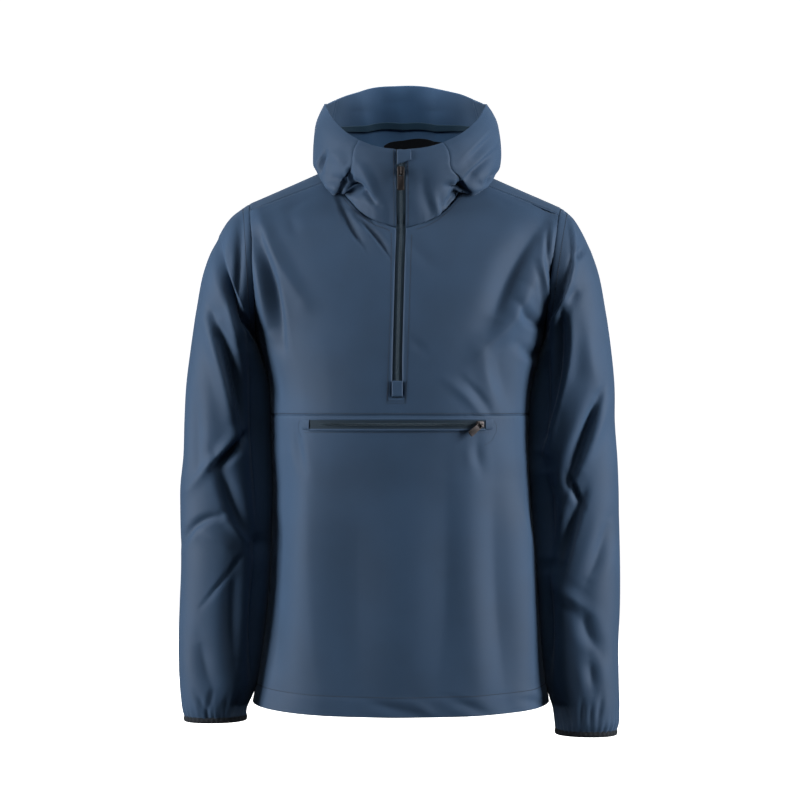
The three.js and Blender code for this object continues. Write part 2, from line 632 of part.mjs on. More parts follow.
wall("back", trimmed(backGrid(), { first: HALF_GAP, last: HALF_GAP, top: TIGHT_SEAM }), "cloth",
  { mitre: { first: CORNER, last: CORNER } });

// Sleeves

function sleeveTurns(side) {
  const ahead = ARMHOLE_TURNS;
  const behind = ARMHOLE_TURNS.slice(1, -1).reverse().map((turn) => 360 - turn);
  const turns = [...ahead, ...behind, 360];
  return side === "left" ? turns : turns.reverse();
}

function sleeveFolds(side) {
  const across = (turn) => radians(turn) * SLEEVE_UNROLLED_RADIUS;
  return SLEEVE_FOLDS[side].map((f) => ({
    ...f,
    fromA: across(f.fromTurn),
    fromB: f.fromZ,
    toA: across(f.toTurn),
    toB: f.toZ,
  }));
}

function armholeRing(side) {
  return sleeveTurns(side).map((turn) => {
    const p = armholePoint(side, turn <= 180 ? turn : 360 - turn);
    return point(SIDES[side] * p.x, turn <= 180 ? -p.depth : p.depth, p.z);
  });
}

function sleeveRing(side, section, number) {
  const folds = sleeveFolds(side);
  const calm = Math.min(number / 2, 1);
  const gathered = number - (SLEEVE[side].length - CUFF_GATHER.sections);
  const gather = Math.max(gathered / CUFF_GATHER.sections, 0) * CUFF_GATHER.depth;
  return sleeveTurns(side).map((turn, i) => {
    const a = radians(turn);
    const along = (1 + power(Math.cos(a), 2 / SLEEVE_ROUNDNESS)) / 2;
    const x = SIDES[side] * lerp(section.innerX, section.outerX, along);
    const z = lerp(section.innerZ, section.outerZ, along);
    const y = section.centreY - section.halfDepth * power(Math.sin(a), 2 / SLEEVE_ROUNDNESS);
    const p = point(x, y, z);
    const middle = point(
      (SIDES[side] * (section.innerX + section.outerX)) / 2,
      section.centreY,
      (section.innerZ + section.outerZ) / 2,
    );
    const sunk = calm * foldDepth(folds, a * SLEEVE_UNROLLED_RADIUS, z);
    const pulled = sunk + (i % 2 === 0 ? gather : -gather / 4);
    return p.addScaledVector(middle.sub(p).normalize(), pulled);
  });
}

for (const side of ["left", "right"]) {
  const rings = SLEEVE[side].map((section, i) => sleeveRing(side, section, i + 1));
  const grid = [armholeRing(side), ...rings].reverse();
  wall(`sleeve_${side}`, trimmed(grid, { top: TIGHT_SEAM }), "cloth",
    { closed: true, mitre: { top: CORNER } });
  const end = grid[0];
  const lowered = (by) => end.map((p) => p.clone().setZ(p.z - by));
  const band = [lowered(SEAM_GAP + BINDING.height), lowered(SEAM_GAP)];
  wall(`cuff_binding_${side}`, band, "binding",
    { closed: true, thickness: BINDING.thickness, out: BINDING.proud });
}

// Hood and collar

// How far the hood rests on the shoulder at a turn: nothing in front and behind, all at the side
function hoodRest(turn) {
  const [begin, full, still, end] = HOOD_REST_TURNS;
  const up = THREE.MathUtils.smoothstep(turn, begin, full);
  return up * (1 - THREE.MathUtils.smoothstep(turn, still, end));
}

function hoodPoint(side, ring, turn) {
  const a = radians(turn);
  const c = Math.cos(a);
  const x = SIDES[side] * ring[side] * power(Math.sin(a), 2 / HOOD.roundness);
  const far = c > 0 ? ring.front : ring.back;
  const y = lerp(HOOD.centreY, far, Math.abs(c) ** (2 / HOOD.roundness));
  const farZ = c > 0 ? ring.frontZ : ring.backZ;
  const free = lerp(ring.sideZ, farZ, Math.abs(c) ** (c > 0 ? HOOD.frontDrop : HOOD.backRise));
  const behind = THREE.MathUtils.smoothstep(turn, SHOULDER_AT_NECK_TURN, HOOD_SEAM_TURN);
  const resting = shoulderLevel(x, y) + lerp(HOOD_CLEARANCE.side, HOOD_CLEARANCE.back, behind);
  const z = lerp(free, resting, ring.rest * hoodRest(turn));
  return point(x, y, turn > RESTS_FROM_TURN ? Math.max(z, resting) : z);
}

// The collar's seam starts far back at the neck and leans forward as it climbs to the rim;
// the columns beside it lean with it
function hoodTurn(side, turn, climb) {
  const start = COLLAR_SEAM.neckTurn;
  const leant = THREE.MathUtils.smoothstep(climb, 0, COLLAR_SEAM.leansBy);
  const moved = (start - COLLAR_SEAM.rimTurn[side]) * leant;
  if (turn <= start) return turn * (1 - moved / start);
  return turn - moved * (1 - THREE.MathUtils.smoothstep(turn, start, COLLAR_SEAM.easesBy));
}

function hoodHalf(side) {
  const seam = [
    zipNeckPoint(side),
    ...NECK_TURNS.map((turn) => neckPoint(side, turn)).map((p) => p.setZ(p.z + HOOD_CLEARANCE.seam)),
  ];
  const rings = HOOD_RINGS.map((ring, j) => {
    const share = Math.abs(zipEdgeX(side, ring.frontZ)) / ring[side];
    const first = THREE.MathUtils.radToDeg(Math.asin(share ** (HOOD.roundness / 2)));
    const climb = (j + 1) / HOOD_RINGS.length;
    const turns = NECK_TURNS.map((turn) => hoodTurn(side, turn, climb));
    return [first, ...turns].map((turn) => hoodPoint(side, ring, turn));
  });
  return [seam, ...rings];
}

const hoodHalves = { left: hoodHalf("left"), right: hoodHalf("right") };
const hoodGrid = hoodHalves.right.map((row, j) => {
  return [...row, ...[...hoodHalves.left[j]].reverse().slice(1)];
});
const HOOD_COLUMNS = hoodGrid[0].length - 1;
const COLLAR_CELLS = 1 + NECK_TURNS.indexOf(COLLAR_SEAM.neckTurn);
const SIDE_CELLS = 1 + NECK_TURNS.indexOf(HOOD_SEAM_TURN);
const slice = (grid, from, to) => grid.map((row) => row.slice(from, to + 1));
const HOOD_PIECES = [
  { name: "collar_front_right", from: 0, to: COLLAR_CELLS },
  { name: "hood_side_right", from: COLLAR_CELLS, to: SIDE_CELLS },
  { name: "hood_centre", from: SIDE_CELLS, to: HOOD_COLUMNS - SIDE_CELLS },
  { name: "hood_side_left", from: HOOD_COLUMNS - SIDE_CELLS, to: HOOD_COLUMNS - COLLAR_CELLS },
  { name: "collar_front_left", from: HOOD_COLUMNS - COLLAR_CELLS, to: HOOD_COLUMNS },
];
for (const { name, from, to } of HOOD_PIECES) {
  const edges = { first: HALF_GAP, last: HALF_GAP, bottom: TIGHT_SEAM };
  wall(name, trimmed(slice(hoodGrid, from, to), edges), "cloth",
    { mitre: { first: HOOD_CORNER, last: HOOD_CORNER } });
}

// Tape band and dark facing on the inside of the hood

const INSIDE = -(CLOTH + 2 * RAISED);
const BAND = { ends: [6.45, 6.7], middle: [7.78, 7.98], thickness: 1 };
const FACING = { row: 7, low: 0.12, high: 0.5, fromX: 65, toX: -27, columns: 8, thickness: 1 };

function between(row, t) {
  return hoodGrid[row].map((p, i) => p.clone().lerp(hoodGrid[row + 1][i], t));
}

// The band arches up behind the head: it lies lower at its two ends than in the middle
const bandRows = [0, 1].map((edge) => {
  const row = [];
  for (let i = SIDE_CELLS - 2; i <= HOOD_COLUMNS - SIDE_CELLS + 2; i++) {
    const arch = 1 - ((2 * i - HOOD_COLUMNS) / (HOOD_COLUMNS - 2 * SIDE_CELLS + 4)) ** 2;
    const at = lerp(BAND.ends[edge], BAND.middle[edge], arch);
    row.push(between(Math.floor(at), at % 1)[i]);
  }
  return row;
});
wall("hood_tape_band", bandRows, "zip", { thickness: BAND.thickness, out: INSIDE });

// The point of a row of the hood's back at distance x from the middle
function alongRow(row, x) {
  const i = row.findIndex((p, k) => k >= SIDE_CELLS && p.x >= x && row[k + 1].x <= x);
  return row[i].clone().lerp(row[i + 1], (row[i].x - x) / (row[i].x - row[i + 1].x));
}

const facingRows = [0, 0.5, 1].map((v) => {
  return Array.from({ length: FACING.columns + 1 }, (_, i) => {
    const u = i / FACING.columns;
    const arch = Math.sqrt(1 - (1.8 * u - 0.9) ** 2);
    const high = lerp(FACING.low, FACING.high, arch);
    const x = lerp(FACING.fromX, FACING.toX, u);
    return alongRow(between(FACING.row, lerp(FACING.low, high, v)), x);
  });
});
wall("neck_facing", facingRows, "facing", { thickness: FACING.thickness, out: INSIDE });

// Main zip: tape with a raised coil, in the slit

const slitRows = [
  ...upperGrid.slice(slitStart + 1).map((row) => [row[SLIT_COLUMN], row[SLIT_COLUMN + 1]]),
  ...hoodGrid.slice(1).map((row) => [row[HOOD_COLUMNS], row[0]]),
];

function tapeRow([from, to], normal, offsets) {
  return offsets.map(([t, up]) => from.clone().lerp(to, t).addScaledVector(normal, up));
}

const edgeShare = SEAM_GAP / (2 * ZIP_HALF_OPENING);
const coilShare = 0.5 - TAPE.coilHalfWidth / (2 * ZIP_HALF_OPENING);
const slopeShare = (2 * TAPE.coilSlope) / (2 * ZIP_HALF_OPENING);
const FORWARD = point(0, -1, 0);
const zipOffsets = [
  [edgeShare, 0],
  [coilShare, 0],
  [coilShare + slopeShare, TAPE.coilProud],
  [1 - coilShare - slopeShare, TAPE.coilProud],
  [1 - coilShare, 0],
  [1 - edgeShare, 0],
];
const zipGrid = slitRows.map((pair) => tapeRow(pair, FORWARD, zipOffsets));
wall("main_zip", trimmed(zipGrid, { bottom: SEAM_GAP }), "zip", { thickness: TAPE.thickness });

// The middle of the zip at a level, on the cloth's surface
function zipMiddle(level) {
  const middles = slitRows.map(([from, to]) => from.clone().lerp(to, 0.5));
  const i = Math.min(Math.max(middles.findIndex((p) => p.z > level), 1), middles.length - 1);
  const t = (level - middles[i - 1].z) / (middles[i].z - middles[i - 1].z);
  return middles[i - 1].clone().lerp(middles[i], t);
}

// A flat patch over the zip: its rows climb, its columns go from left to right
function zipPatch(name, rows, finish, thickness) {
  const grid = rows.map(({ left, right, from, to }) => {
    return [0, 0.5, 1].map((t) => {
      const level = lerp(left, right, t);
      const middle = zipMiddle(level);
      return point(middle.x + lerp(from, to, t), middle.y, level);
    });
  });
  wall(name, grid, finish, { thickness, out: TAPE.coilProud + RAISED + PATCH_LIFT + thickness });
}

const garageRow = (t) => ({
  left: lerp(GARAGE.bottomLeft, GARAGE.top, t),
  right: lerp(GARAGE.bottomRight, GARAGE.top, t),
  from: GARAGE.fromX,
  to: GARAGE.toX,
});
zipPatch("zip_garage", [0, 0.5, 1].map(garageRow), "cloth", GARAGE.thickness);
const endRow = (t) => ({
  left: lerp(END_PATCH.bottom, END_PATCH.top, t),
  right: lerp(END_PATCH.bottom, END_PATCH.top, t),
  from: -END_PATCH.halfWidth,
  to: END_PATCH.halfWidth,
});
zipPatch("zip_end_patch", [0, 0.5, 1].map(endRow), "cloth", END_PATCH.thickness);

// Pocket zip, laid on the lower front

function frontSurface(x, level) {
  const side = x < 0 ? "left" : "right";
  return torsoPoint(side, "front", torsoAngle(side, "front", x, level), level);
}

const STRIP_MARGIN = 2;

function pocketStrip(name, fromX, toX, profile, finish, thickness) {
  const columns = lowerGrid[0].map((p, i) => lowerGrid[BODY_LEVELS.length][i].x);
  const inside = columns.filter((x) => x > fromX + STRIP_MARGIN && x < toX - STRIP_MARGIN);
  const xs = [fromX, ...inside, toX];
  const grid = profile.map(([level, up]) => {
    return xs.map((x) => frontSurface(x, level).addScaledVector(FORWARD, up));
  });
  wall(name, grid, finish, { thickness, out: RAISED + thickness });
}

const pocketMiddle = (POCKET.top + POCKET.bottom) / 2;
pocketStrip("pocket_zip", POCKET.left, POCKET.right, [
  [POCKET.bottom, 0],
  [pocketMiddle - TAPE.coilHalfWidth, 0],
  [pocketMiddle - TAPE.coilHalfWidth + TAPE.coilSlope, TAPE.coilProud],
  [pocketMiddle + TAPE.coilHalfWidth - TAPE.coilSlope, TAPE.coilProud],
  [pocketMiddle + TAPE.coilHalfWidth, 0],
  [POCKET.top, 0],
], "zip", TAPE.thickness);
const patchRows = [[POCKET.bottom, 0], [POCKET.top, 0]];
pocketStrip("pocket_end_patch_left", POCKET.left - SEAM_GAP - POCKET.patch,
  POCKET.left - SEAM_GAP, patchRows, "cloth", POCKET.patchThickness);
pocketStrip("pocket_end_patch_right", POCKET.right + SEAM_GAP,
  POCKET.right + SEAM_GAP + POCKET.patch, patchRows, "cloth", POCKET.patchThickness);

// Sliders and pull tabs, built lying flat: +X across, +Z along the zip, -Y out of the cloth

function roundedPlate(width, length, thickness, radius, window) {
  const shape = new THREE.Shape();
  const [w, l] = [width / 2, length / 2];
  shape.moveTo(-w + radius, -l);
  shape.lineTo(w - radius, -l);
  shape.absarc(w - radius, -l + radius, radius, -Math.PI / 2, 0);
  shape.absarc(w - radius, l - radius, radius, 0, Math.PI / 2);
  shape.absarc(-w + radius, l - radius, radius, Math.PI / 2, Math.PI);
  shape.absarc(-w + radius, -l + radius, radius, Math.PI, 1.5 * Math.PI);
  if (window) {
    const hole = new THREE.Path();
    hole.moveTo(-window.width / 2, window.top - window.length);
    hole.lineTo(-window.width / 2, window.top);
    hole.lineTo(window.width / 2, window.top);
    hole.lineTo(window.width / 2, window.top - window.length);
    shape.holes.push(hole);
  }
  const plate = new THREE.ExtrudeGeometry(shape,
    { depth: thickness, bevelEnabled: false, curveSegments: 3 });
  return plate.rotateX(Math.PI / 2);
}

// The arch over a slider that the pull tab hangs on, as a bent strip on edge
function arch(reach, base) {
  const { width, thickness, clear, shoulder } = ARCH;
  const foot = reach + thickness;
  const top = base + clear + thickness;
  const outline = [
    [-foot, base / 2], [-foot, top - 1], [1 - foot, top], [foot - 1, top], [foot, top - 1],
    [foot, base / 2], [reach, base / 2], [reach, top - 1 - thickness / 2],
    [reach - shoulder, top - thickness], [shoulder - reach, top - thickness],
    [-reach, top - 1 - thickness / 2], [-reach, base / 2],
  ];
  const shape = new THREE.Shape(outline.map(([z, out]) => new THREE.Vector2(-out, z)));
  const strip = new THREE.ExtrudeGeometry(shape, { depth: width, bevelEnabled: false });
  const basis = new THREE.Matrix4().makeBasis(point(0, 1, 0), point(0, 0, 1), point(1, 0, 0));
  return strip.applyMatrix4(basis).translate(-width / 2, 0, 0);
}

const wasm = await Module();
wasm.setup();

function solid(geometry) {
  const bare = geometry.clone();
  bare.deleteAttribute("normal");
  bare.deleteAttribute("uv");
  const merged = BufferGeometryUtils.mergeVertices(bare, 1e-4);
  return new wasm.Manifold(new wasm.Mesh({
    numProp: 3,
    vertProperties: merged.attributes.position.array,
    triVerts: new Uint32Array(merged.index.array),
  }));
}

function joined(a, b) {
  const { vertProperties, triVerts } = solid(a).add(solid(b)).getMesh();
  const geometry = new THREE.BufferGeometry();
  geometry.setAttribute("position", new THREE.BufferAttribute(vertProperties, 3));
  geometry.setIndex(new THREE.BufferAttribute(triVerts, 1));
  return geometry;
}

// A slider and its pull tab; the tab hangs along `hang`, a direction in the cloth
function zipPull({ prefix, at, along, outward, hang, slider, tab }) {
  const frame = (zAxis, origin) => {
    const yAxis = outward.clone().negate();
    const xAxis = yAxis.clone().cross(zAxis);
    return new THREE.Matrix4().makeBasis(xAxis, yAxis, zAxis).setPosition(origin);
  };
  const body = roundedPlate(slider.width, slider.length, slider.thickness, PLATE_CORNER.slider);
  const geometry = joined(body, arch(slider.archReach, slider.thickness));
  addMesh(`${prefix}_slider`, geometry.applyMatrix4(frame(along, at)), "metal");
  const pivot = at.clone().addScaledVector(outward, slider.thickness + ARCH.clear / 2);
  const middle = CROSSBAR / 2 - tab.length / 2;
  const [width, length] = tab.window;
  const window = { width, length, top: -CROSSBAR / 2 - middle };
  const plate = roundedPlate(tab.width, tab.length, tab.thickness, PLATE_CORNER.tab, window);
  plate.translate(0, tab.thickness / 2, middle);
  addMesh(`${prefix}_tab`, plate.applyMatrix4(frame(hang.clone().negate(), pivot)), "metal");
}

const mainAt = zipMiddle(MAIN_SLIDER.level);
const SLIDER_LIFT = TAPE.coilProud + RAISED;
zipPull({
  prefix: "main",
  at: mainAt.setY(zipMiddle(MAIN_SLIDER.level + MAIN_SLIDER.length / 2).y - SLIDER_LIFT),
  along: point(0, 0, 1),
  outward: FORWARD,
  hang: point(0, 0, -1),
  slider: MAIN_SLIDER,
  tab: MAIN_TAB,
});

const pocketAt = frontSurface(POCKET_SLIDER.x, POCKET_SLIDER.level);
const pocketAlong = frontSurface(POCKET_SLIDER.x + POCKET_SLIDER.width / 2, POCKET_SLIDER.level)
  .sub(frontSurface(POCKET_SLIDER.x - POCKET_SLIDER.width / 2, POCKET_SLIDER.level)).normalize();
const UP = point(0, 0, 1);
const pocketOut = pocketAlong.clone().cross(UP).normalize();
const lean = radians(POCKET_TAB.lean);
zipPull({
  prefix: "pocket",
  at: pocketAt.addScaledVector(pocketOut, TAPE.thickness + SLIDER_LIFT + RAISED),
  along: pocketAlong,
  outward: pocketOut,
  hang: pocketAlong.clone().multiplyScalar(-Math.cos(lean)).addScaledVector(UP, -Math.sin(lean)),
  slider: POCKET_SLIDER,
  tab: POCKET_TAB,
});

export default model;
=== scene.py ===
# %% [markdown]
# # An anorak pullover in Blender
# This lesson dresses a finished CAD model of a hooded half-zip anorak. The garment is filled out
# as if worn, with nobody inside. The CAD gives every piece its place and its main curve. Here the
# cloth gets its creases, seams, stitches and finish. The frame comes first, since it fixes sizes.

# %% Load the frame
import math
from bisect import bisect_left

import bmesh
import bpy
import numpy as np
from mathutils import Matrix, Vector
from mathutils.bvhtree import BVHTree


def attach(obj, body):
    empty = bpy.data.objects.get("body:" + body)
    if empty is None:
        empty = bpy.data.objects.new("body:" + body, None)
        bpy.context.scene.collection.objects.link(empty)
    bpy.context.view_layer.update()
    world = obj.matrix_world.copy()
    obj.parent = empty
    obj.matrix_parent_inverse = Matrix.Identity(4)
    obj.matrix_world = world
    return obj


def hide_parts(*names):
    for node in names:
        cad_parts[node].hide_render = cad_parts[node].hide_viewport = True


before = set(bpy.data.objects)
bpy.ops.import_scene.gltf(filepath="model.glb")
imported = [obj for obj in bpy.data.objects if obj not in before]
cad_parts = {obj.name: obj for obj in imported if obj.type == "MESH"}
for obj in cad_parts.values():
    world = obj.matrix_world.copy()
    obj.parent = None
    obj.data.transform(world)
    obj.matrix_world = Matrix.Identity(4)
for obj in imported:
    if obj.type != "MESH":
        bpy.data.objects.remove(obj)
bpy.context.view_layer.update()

MM = 0.001

# %% [markdown]
# ## The camera
# The photo was taken from straight in front, level with the chest. A long lens keeps the sleeves
# and the body the same size. The lens follows from how wide the picture is at the garment.

# %% Camera
DISTANCE = 3.3
PICTURE_WIDTH = 1.104
SENSOR_WIDTH = 36
EYE = (-0.00276, -DISTANCE, -0.3243)


def add_object(name, data):
    """A new object in the scene, made of this data."""
    thing = bpy.data.objects.new(name, data)
    bpy.context.scene.collection.objects.link(thing)
    return thing


def make_camera():
    data = bpy.data.cameras.new("camera")
    data.sensor_width = SENSOR_WIDTH
    data.lens = SENSOR_WIDTH * DISTANCE / PICTURE_WIDTH
    camera = add_object("camera", data)
    camera.location = EYE
    camera.rotation_euler = (math.radians(90), 0, 0)
    bpy.context.scene.camera = camera
    print("lens", round(data.lens, 1), "mm")


make_camera()

# %% [markdown]
# ## Floor and light
# The garment hangs in a white studio. Two large soft lights stand at its sides, a little in front,
# so the flanks of the body and sleeves are bright and the middle of the chest is darker. Two weak
# ones, above and in front, lift the rest. A small one over the neck fills the inside of the hood,
# and one behind shows the back in a turned view. The camera sees neither of these two. A pale
# floor curves up into a round wall, so there is no line between floor and backdrop.

# %% Studio
FLOOR_LEVEL = -1.0
MIDDLE = (0, 0, -0.35)
LIGHTS = {
    "side_left": dict(at=(-2.5, -0.72, 0.1), size=(0.9, 2.2), watts=132),
    "side_right": dict(at=(2.5, -0.72, 0.1), size=(0.9, 2.2), watts=136),
    "top": dict(at=(0.0, -1.7, 2.3), size=(1.8, 1.4), watts=21),
    "front": dict(at=(0.0, -3.8, 0.9), size=(2.4, 1.6), watts=3),
    "hood": dict(at=(0, -0.06, 0.23), size=(0.24, 0.06), watts=0.56, aim=(0, 0.16, 0.07),
                 spread=120, seen=False),
    "rear": dict(at=(0, 3.2, 0.9), size=(3.2, 2.0), watts=110, seen=False),
}
AIR = 0.02
STUDIO = dict(floor=4.5, bend=3.0, wall=9.0, floorSteps=4, bendSteps=12, turnSteps=96, weld=1e-4)


def make_light(name, at, size, watts, aim=MIDDLE, spread=180, seen=True):
    data = bpy.data.lights.new(name, "AREA")
    data.shape = "RECTANGLE"
    data.size, data.size_y = size
    data.energy = watts
    data.spread = math.radians(spread)
    light = add_object(name, data)
    light.location = at
    way = Vector(aim) - Vector(at)
    light.rotation_euler = way.to_track_quat("-Z", "Y").to_euler()
    light.visible_camera = light.visible_glossy = seen


def mesh_object(name, mesh):
    """Turns a finished bmesh into a smooth-shaded object."""
    data = bpy.data.meshes.new(name)
    mesh.to_mesh(data)
    mesh.free()
    for face in data.polygons:
        face.use_smooth = True
    return add_object(name, data)


def make_studio():
    """A round floor whose edge curves up into a wall, turned from one profile."""
    mesh = bmesh.new()
    floor, bend, steps = STUDIO["floor"], STUDIO["bend"], STUDIO["floorSteps"]
    profile = [(floor * k / steps, FLOOR_LEVEL) for k in range(steps + 1)]
    for k in range(1, STUDIO["bendSteps"] + 1):
        angle = k * math.pi / 2 / STUDIO["bendSteps"]
        profile.append((floor + bend * math.sin(angle),
                        FLOOR_LEVEL + bend * (1 - math.cos(angle))))
    profile.append((profile[-1][0], FLOOR_LEVEL + STUDIO["wall"]))
    verts = [mesh.verts.new((0, y, z)) for y, z in profile]
    edges = [mesh.edges.new(pair) for pair in zip(verts, verts[1:])]
    bmesh.ops.spin(mesh, geom=verts + edges, axis=(0, 0, 1), cent=(0, 0, 0),
                   steps=STUDIO["turnSteps"], angle=2 * math.pi, use_merge=True)
    bmesh.ops.remove_doubles(mesh, verts=mesh.verts, dist=STUDIO["weld"])
    bmesh.ops.recalc_face_normals(mesh, faces=mesh.faces)
    mesh.faces.ensure_lookup_table()
    if mesh.faces[0].normal.z < 0:
        bmesh.ops.reverse_faces(mesh, faces=mesh.faces)
    studio = mesh_object("studio", mesh)
    studio.visible_diffuse = studio.visible_glossy = studio.visible_shadow = False
    return studio


studio = make_studio()
for name, light in LIGHTS.items():
    make_light(name, **light)
world = bpy.data.worlds.new("studio_air")
world.use_nodes = True
backdrop = world.node_tree.nodes["Background"].inputs
backdrop["Color"].default_value = (1, 1, 1, 1)
backdrop["Strength"].default_value = AIR
bpy.context.scene.world = world
bpy.context.scene.view_settings.view_transform = "Standard"
print("studio with", len(LIGHTS), "lights")

# %% [markdown]
# ## Shader maths
# Materials are made of nodes. Long chains of nodes are hard to read, so a small class wraps a
# socket and lets Python operators add the Math nodes. One method makes any other node.

# %% The shader helper


class Value:
    """A number or vector that a node gives out, used like a number in Python."""

    def __init__(self, finish, socket):
        self.finish = finish
        self.socket = socket

    def math(self, operation, *others):
        inputs = dict(enumerate((self, *others)))
        return self.finish.node("ShaderNodeMath", inputs, operation=operation)

    def __add__(self, other):
        return self.math("ADD", other)

    def __mul__(self, other):
        return self.math("MULTIPLY", other)

    __radd__ = __add__
    __rmul__ = __mul__

    def sine(self):
        return self.math("SINE")

    def smooth(self, low, high):
        inputs = {"Value": self, "From Min": low, "From Max": high}
        return self.finish.node("ShaderNodeMapRange", inputs, interpolation_type="SMOOTHSTEP")


class Finish:
    """A material under construction."""

    def __init__(self, name, **constants):
        self.material = bpy.data.materials.new(name)
        self.material.use_nodes = True
        self.tree = self.material.node_tree
        self.shader = self.tree.nodes["Principled BSDF"]
        for socket, value in constants.items():
            self.shader.inputs[socket.replace("_", " ")].default_value = value

    def node(self, kind, inputs=None, output=0, **settings):
        node = self.tree.nodes.new(kind)
        for key, value in settings.items():
            setattr(node, key, value)
        for key, value in (inputs or {}).items():
            if isinstance(value, Value):
                self.tree.links.new(value.socket, node.inputs[key])
            else:
                node.inputs[key].default_value = value
        return Value(self, node.outputs[output])

    def feed(self, socket, value):
        self.tree.links.new(value.socket, self.shader.inputs[socket])

    def place(self):
        return self.node("ShaderNodeTexCoord", output="Object")

    def cloth_place(self):
        return self.node("ShaderNodeUVMap", uv_map="cloth")

    def parts(self, vector):
        split = self.node("ShaderNodeSeparateXYZ", {0: vector})
        return [Value(self, socket) for socket in split.socket.node.outputs]

    def noise(self, place, scale, detail=3.0, roughness=0.5):
        inputs = {"Vector": place, "Scale": scale, "Detail": detail, "Roughness": roughness}
        return self.node("ShaderNodeTexNoise", inputs, output="Fac")

    def mix(self, share, low, high):
        """Two colours mixed. The Mix node keeps its colour sockets at these numbers."""
        return self.node("ShaderNodeMix", {0: share, 6: low, 7: high}, 2, data_type="RGBA")

    def bump(self, height, distance, strength=1.0):
        inputs = {"Height": height, "Distance": distance, "Strength": strength}
        self.feed("Normal", self.node("ShaderNodeBump", inputs, output="Normal"))


def colour(shade, tone=1.0):
    """A colour given as on a screen, from 0 to 255, made darker or paler, in light values."""
    def linear(c):
        c = min(c * tone, 255) / 255
        return c / 12.92 if c <= 0.04045 else ((c + 0.055) / 1.055) ** 2.4
    return (*(linear(c) for c in shade), 1.0)


print("a middle grey in light values:", [round(c, 3) for c in colour((128, 128, 128))])

# %% [markdown]
# ## The finishes
# Softshell is a dense woven nylon face bonded to a knit. It has a fine even grain, a soft sheen
# where the light grazes it, and a slight variation in tone. The weave is drawn in the cloth's own
# UV map, which is laid out in metres, so the threads follow every panel as it curves.

# %% Softshell
THREAD = 0.00062
NAVY = (40, 62, 87)


def weave(finish, size):
    """The height of a plain weave with threads this far apart."""
    across, along, _ = finish.parts(finish.cloth_place())
    turn = 2 * math.pi / size
    return (across * turn).sine() * (along * turn).sine() * 0.5 + 0.5


def softshell(name):
    finish = Finish(name, Sheen_Weight=0.1, Sheen_Roughness=0.5, Specular_IOR_Level=0.22,
                    Sheen_Tint=(0.62, 0.78, 1.0, 1))
    place = finish.place()
    threads = weave(finish, THREAD)
    patches = finish.noise(place, 9, 3)
    fuzz = finish.noise(place, 900, 2)
    cloth = finish.mix(patches.smooth(0.3, 0.7), colour(NAVY, 0.9), colour(NAVY))
    lit = threads * 0.25 + fuzz.smooth(0.55, 0.8) * 0.35
    cloth = finish.mix(lit, cloth, colour(NAVY, 1.08))
    finish.feed("Base Color", cloth)
    finish.feed("Roughness", 0.6 + 0.12 * patches)
    finish.bump(threads * 0.6 + fuzz * 0.4, 0.00012, 0.55)
    return finish.material


SOFTSHELL = softshell("softshell")
print("softshell threads every", THREAD * 1000, "mm")

# %% [markdown]
# The trims are darker. The tape and coil are nylon, the cuff binding is a ribbed black elastic,
# the facing is a matt knit, and the thread is a navy polyester painted darker than the cloth, as
# the shade along each row of stitches.

# %% Trims


def ribbed(name, shade, size, depth, roughness):
    """A woven tape: fine ribs across it and a little fuzz, with painted shade darkening the hollows
    between the ribs.
    """
    finish = Finish(name, Specular_IOR_Level=0.2, Sheen_Weight=0.03)
    across = finish.parts(finish.cloth_place())[0]
    ribs = (across * (2 * math.pi / size)).sine() * 0.5 + 0.5
    fuzz = finish.noise(finish.place(), 700, 2)
    # The colour follows the rib height, as painted shade in the hollows, plus a random tone from
    # the fuzz.
    tone = ribs * 0.6 + fuzz * 0.4
    finish.feed("Base Color", finish.mix(tone, colour(shade, 0.7), colour(shade)))
    finish.feed("Roughness", roughness + 0.1 * fuzz)
    finish.bump(tone, depth, 0.6)
    return finish.material


def plain(name, shade, roughness, metallic=0.0, worn=0.0, **constants):
    """A moulded or cast finish with faint marks, and wear in patches where asked."""
    finish = Finish(name, Metallic=metallic, **constants)
    place = finish.place()
    marks = finish.noise(place, 260, 4, 0.6)
    rub = finish.noise(place, 60, 3).smooth(0.52, 0.75) * worn
    dark = finish.mix(marks, colour(shade, 0.85), colour(shade))
    finish.feed("Base Color", finish.mix(rub, dark, colour(shade, 1.9)))
    finish.feed("Roughness", roughness + 0.15 * marks)
    finish.bump(marks, 0.00005, 0.4)
    return finish.material


TAPE_BAND = ribbed("tape_band", (31, 52, 68), 0.0012, 0.0001, 0.6)
ZIP_TAPE = ribbed("zip_tape", (26, 44, 58), 0.0009, 0.00012, 0.7)
COIL = plain("zip_coil", (46, 66, 80), 0.4, Specular_IOR_Level=0.45)
ELASTIC = ribbed("elastic", (26, 31, 38), 0.0016, 0.0004, 0.8)
FACING_KNIT = ribbed("facing_knit", (9, 11, 15), 0.001, 0.0002, 0.9)
# Painted shade: the thread is navy, but its colour is set much darker than the cloth to stand for
# the shade along each row of stitches.
PAINTED_SHADE_THREAD = plain("thread", (17, 28, 42), 0.7)
METAL = plain("gunmetal", (52, 48, 48), 0.4, metallic=0.8, worn=0.4)
PALE = plain("studio_paper", (248, 248, 248), 0.9, Emission_Strength=0.9,
             Emission_Color=(1, 1, 1, 1))
studio.data.materials.append(PALE)
print("trims ready")

# %% [markdown]
# ## The cut, as tables
# These are the sizes of the garment in millimetres, the same ones the CAD was made from. A level
# is a height below the neck. Each table has named columns, and a smooth curve runs through a
# column, so a few rows give the whole form.

# %% Torso tables


def table(columns, *rows):
    """Rows of numbers under named columns."""
    return [dict(zip(columns.split(), row)) for row in rows]


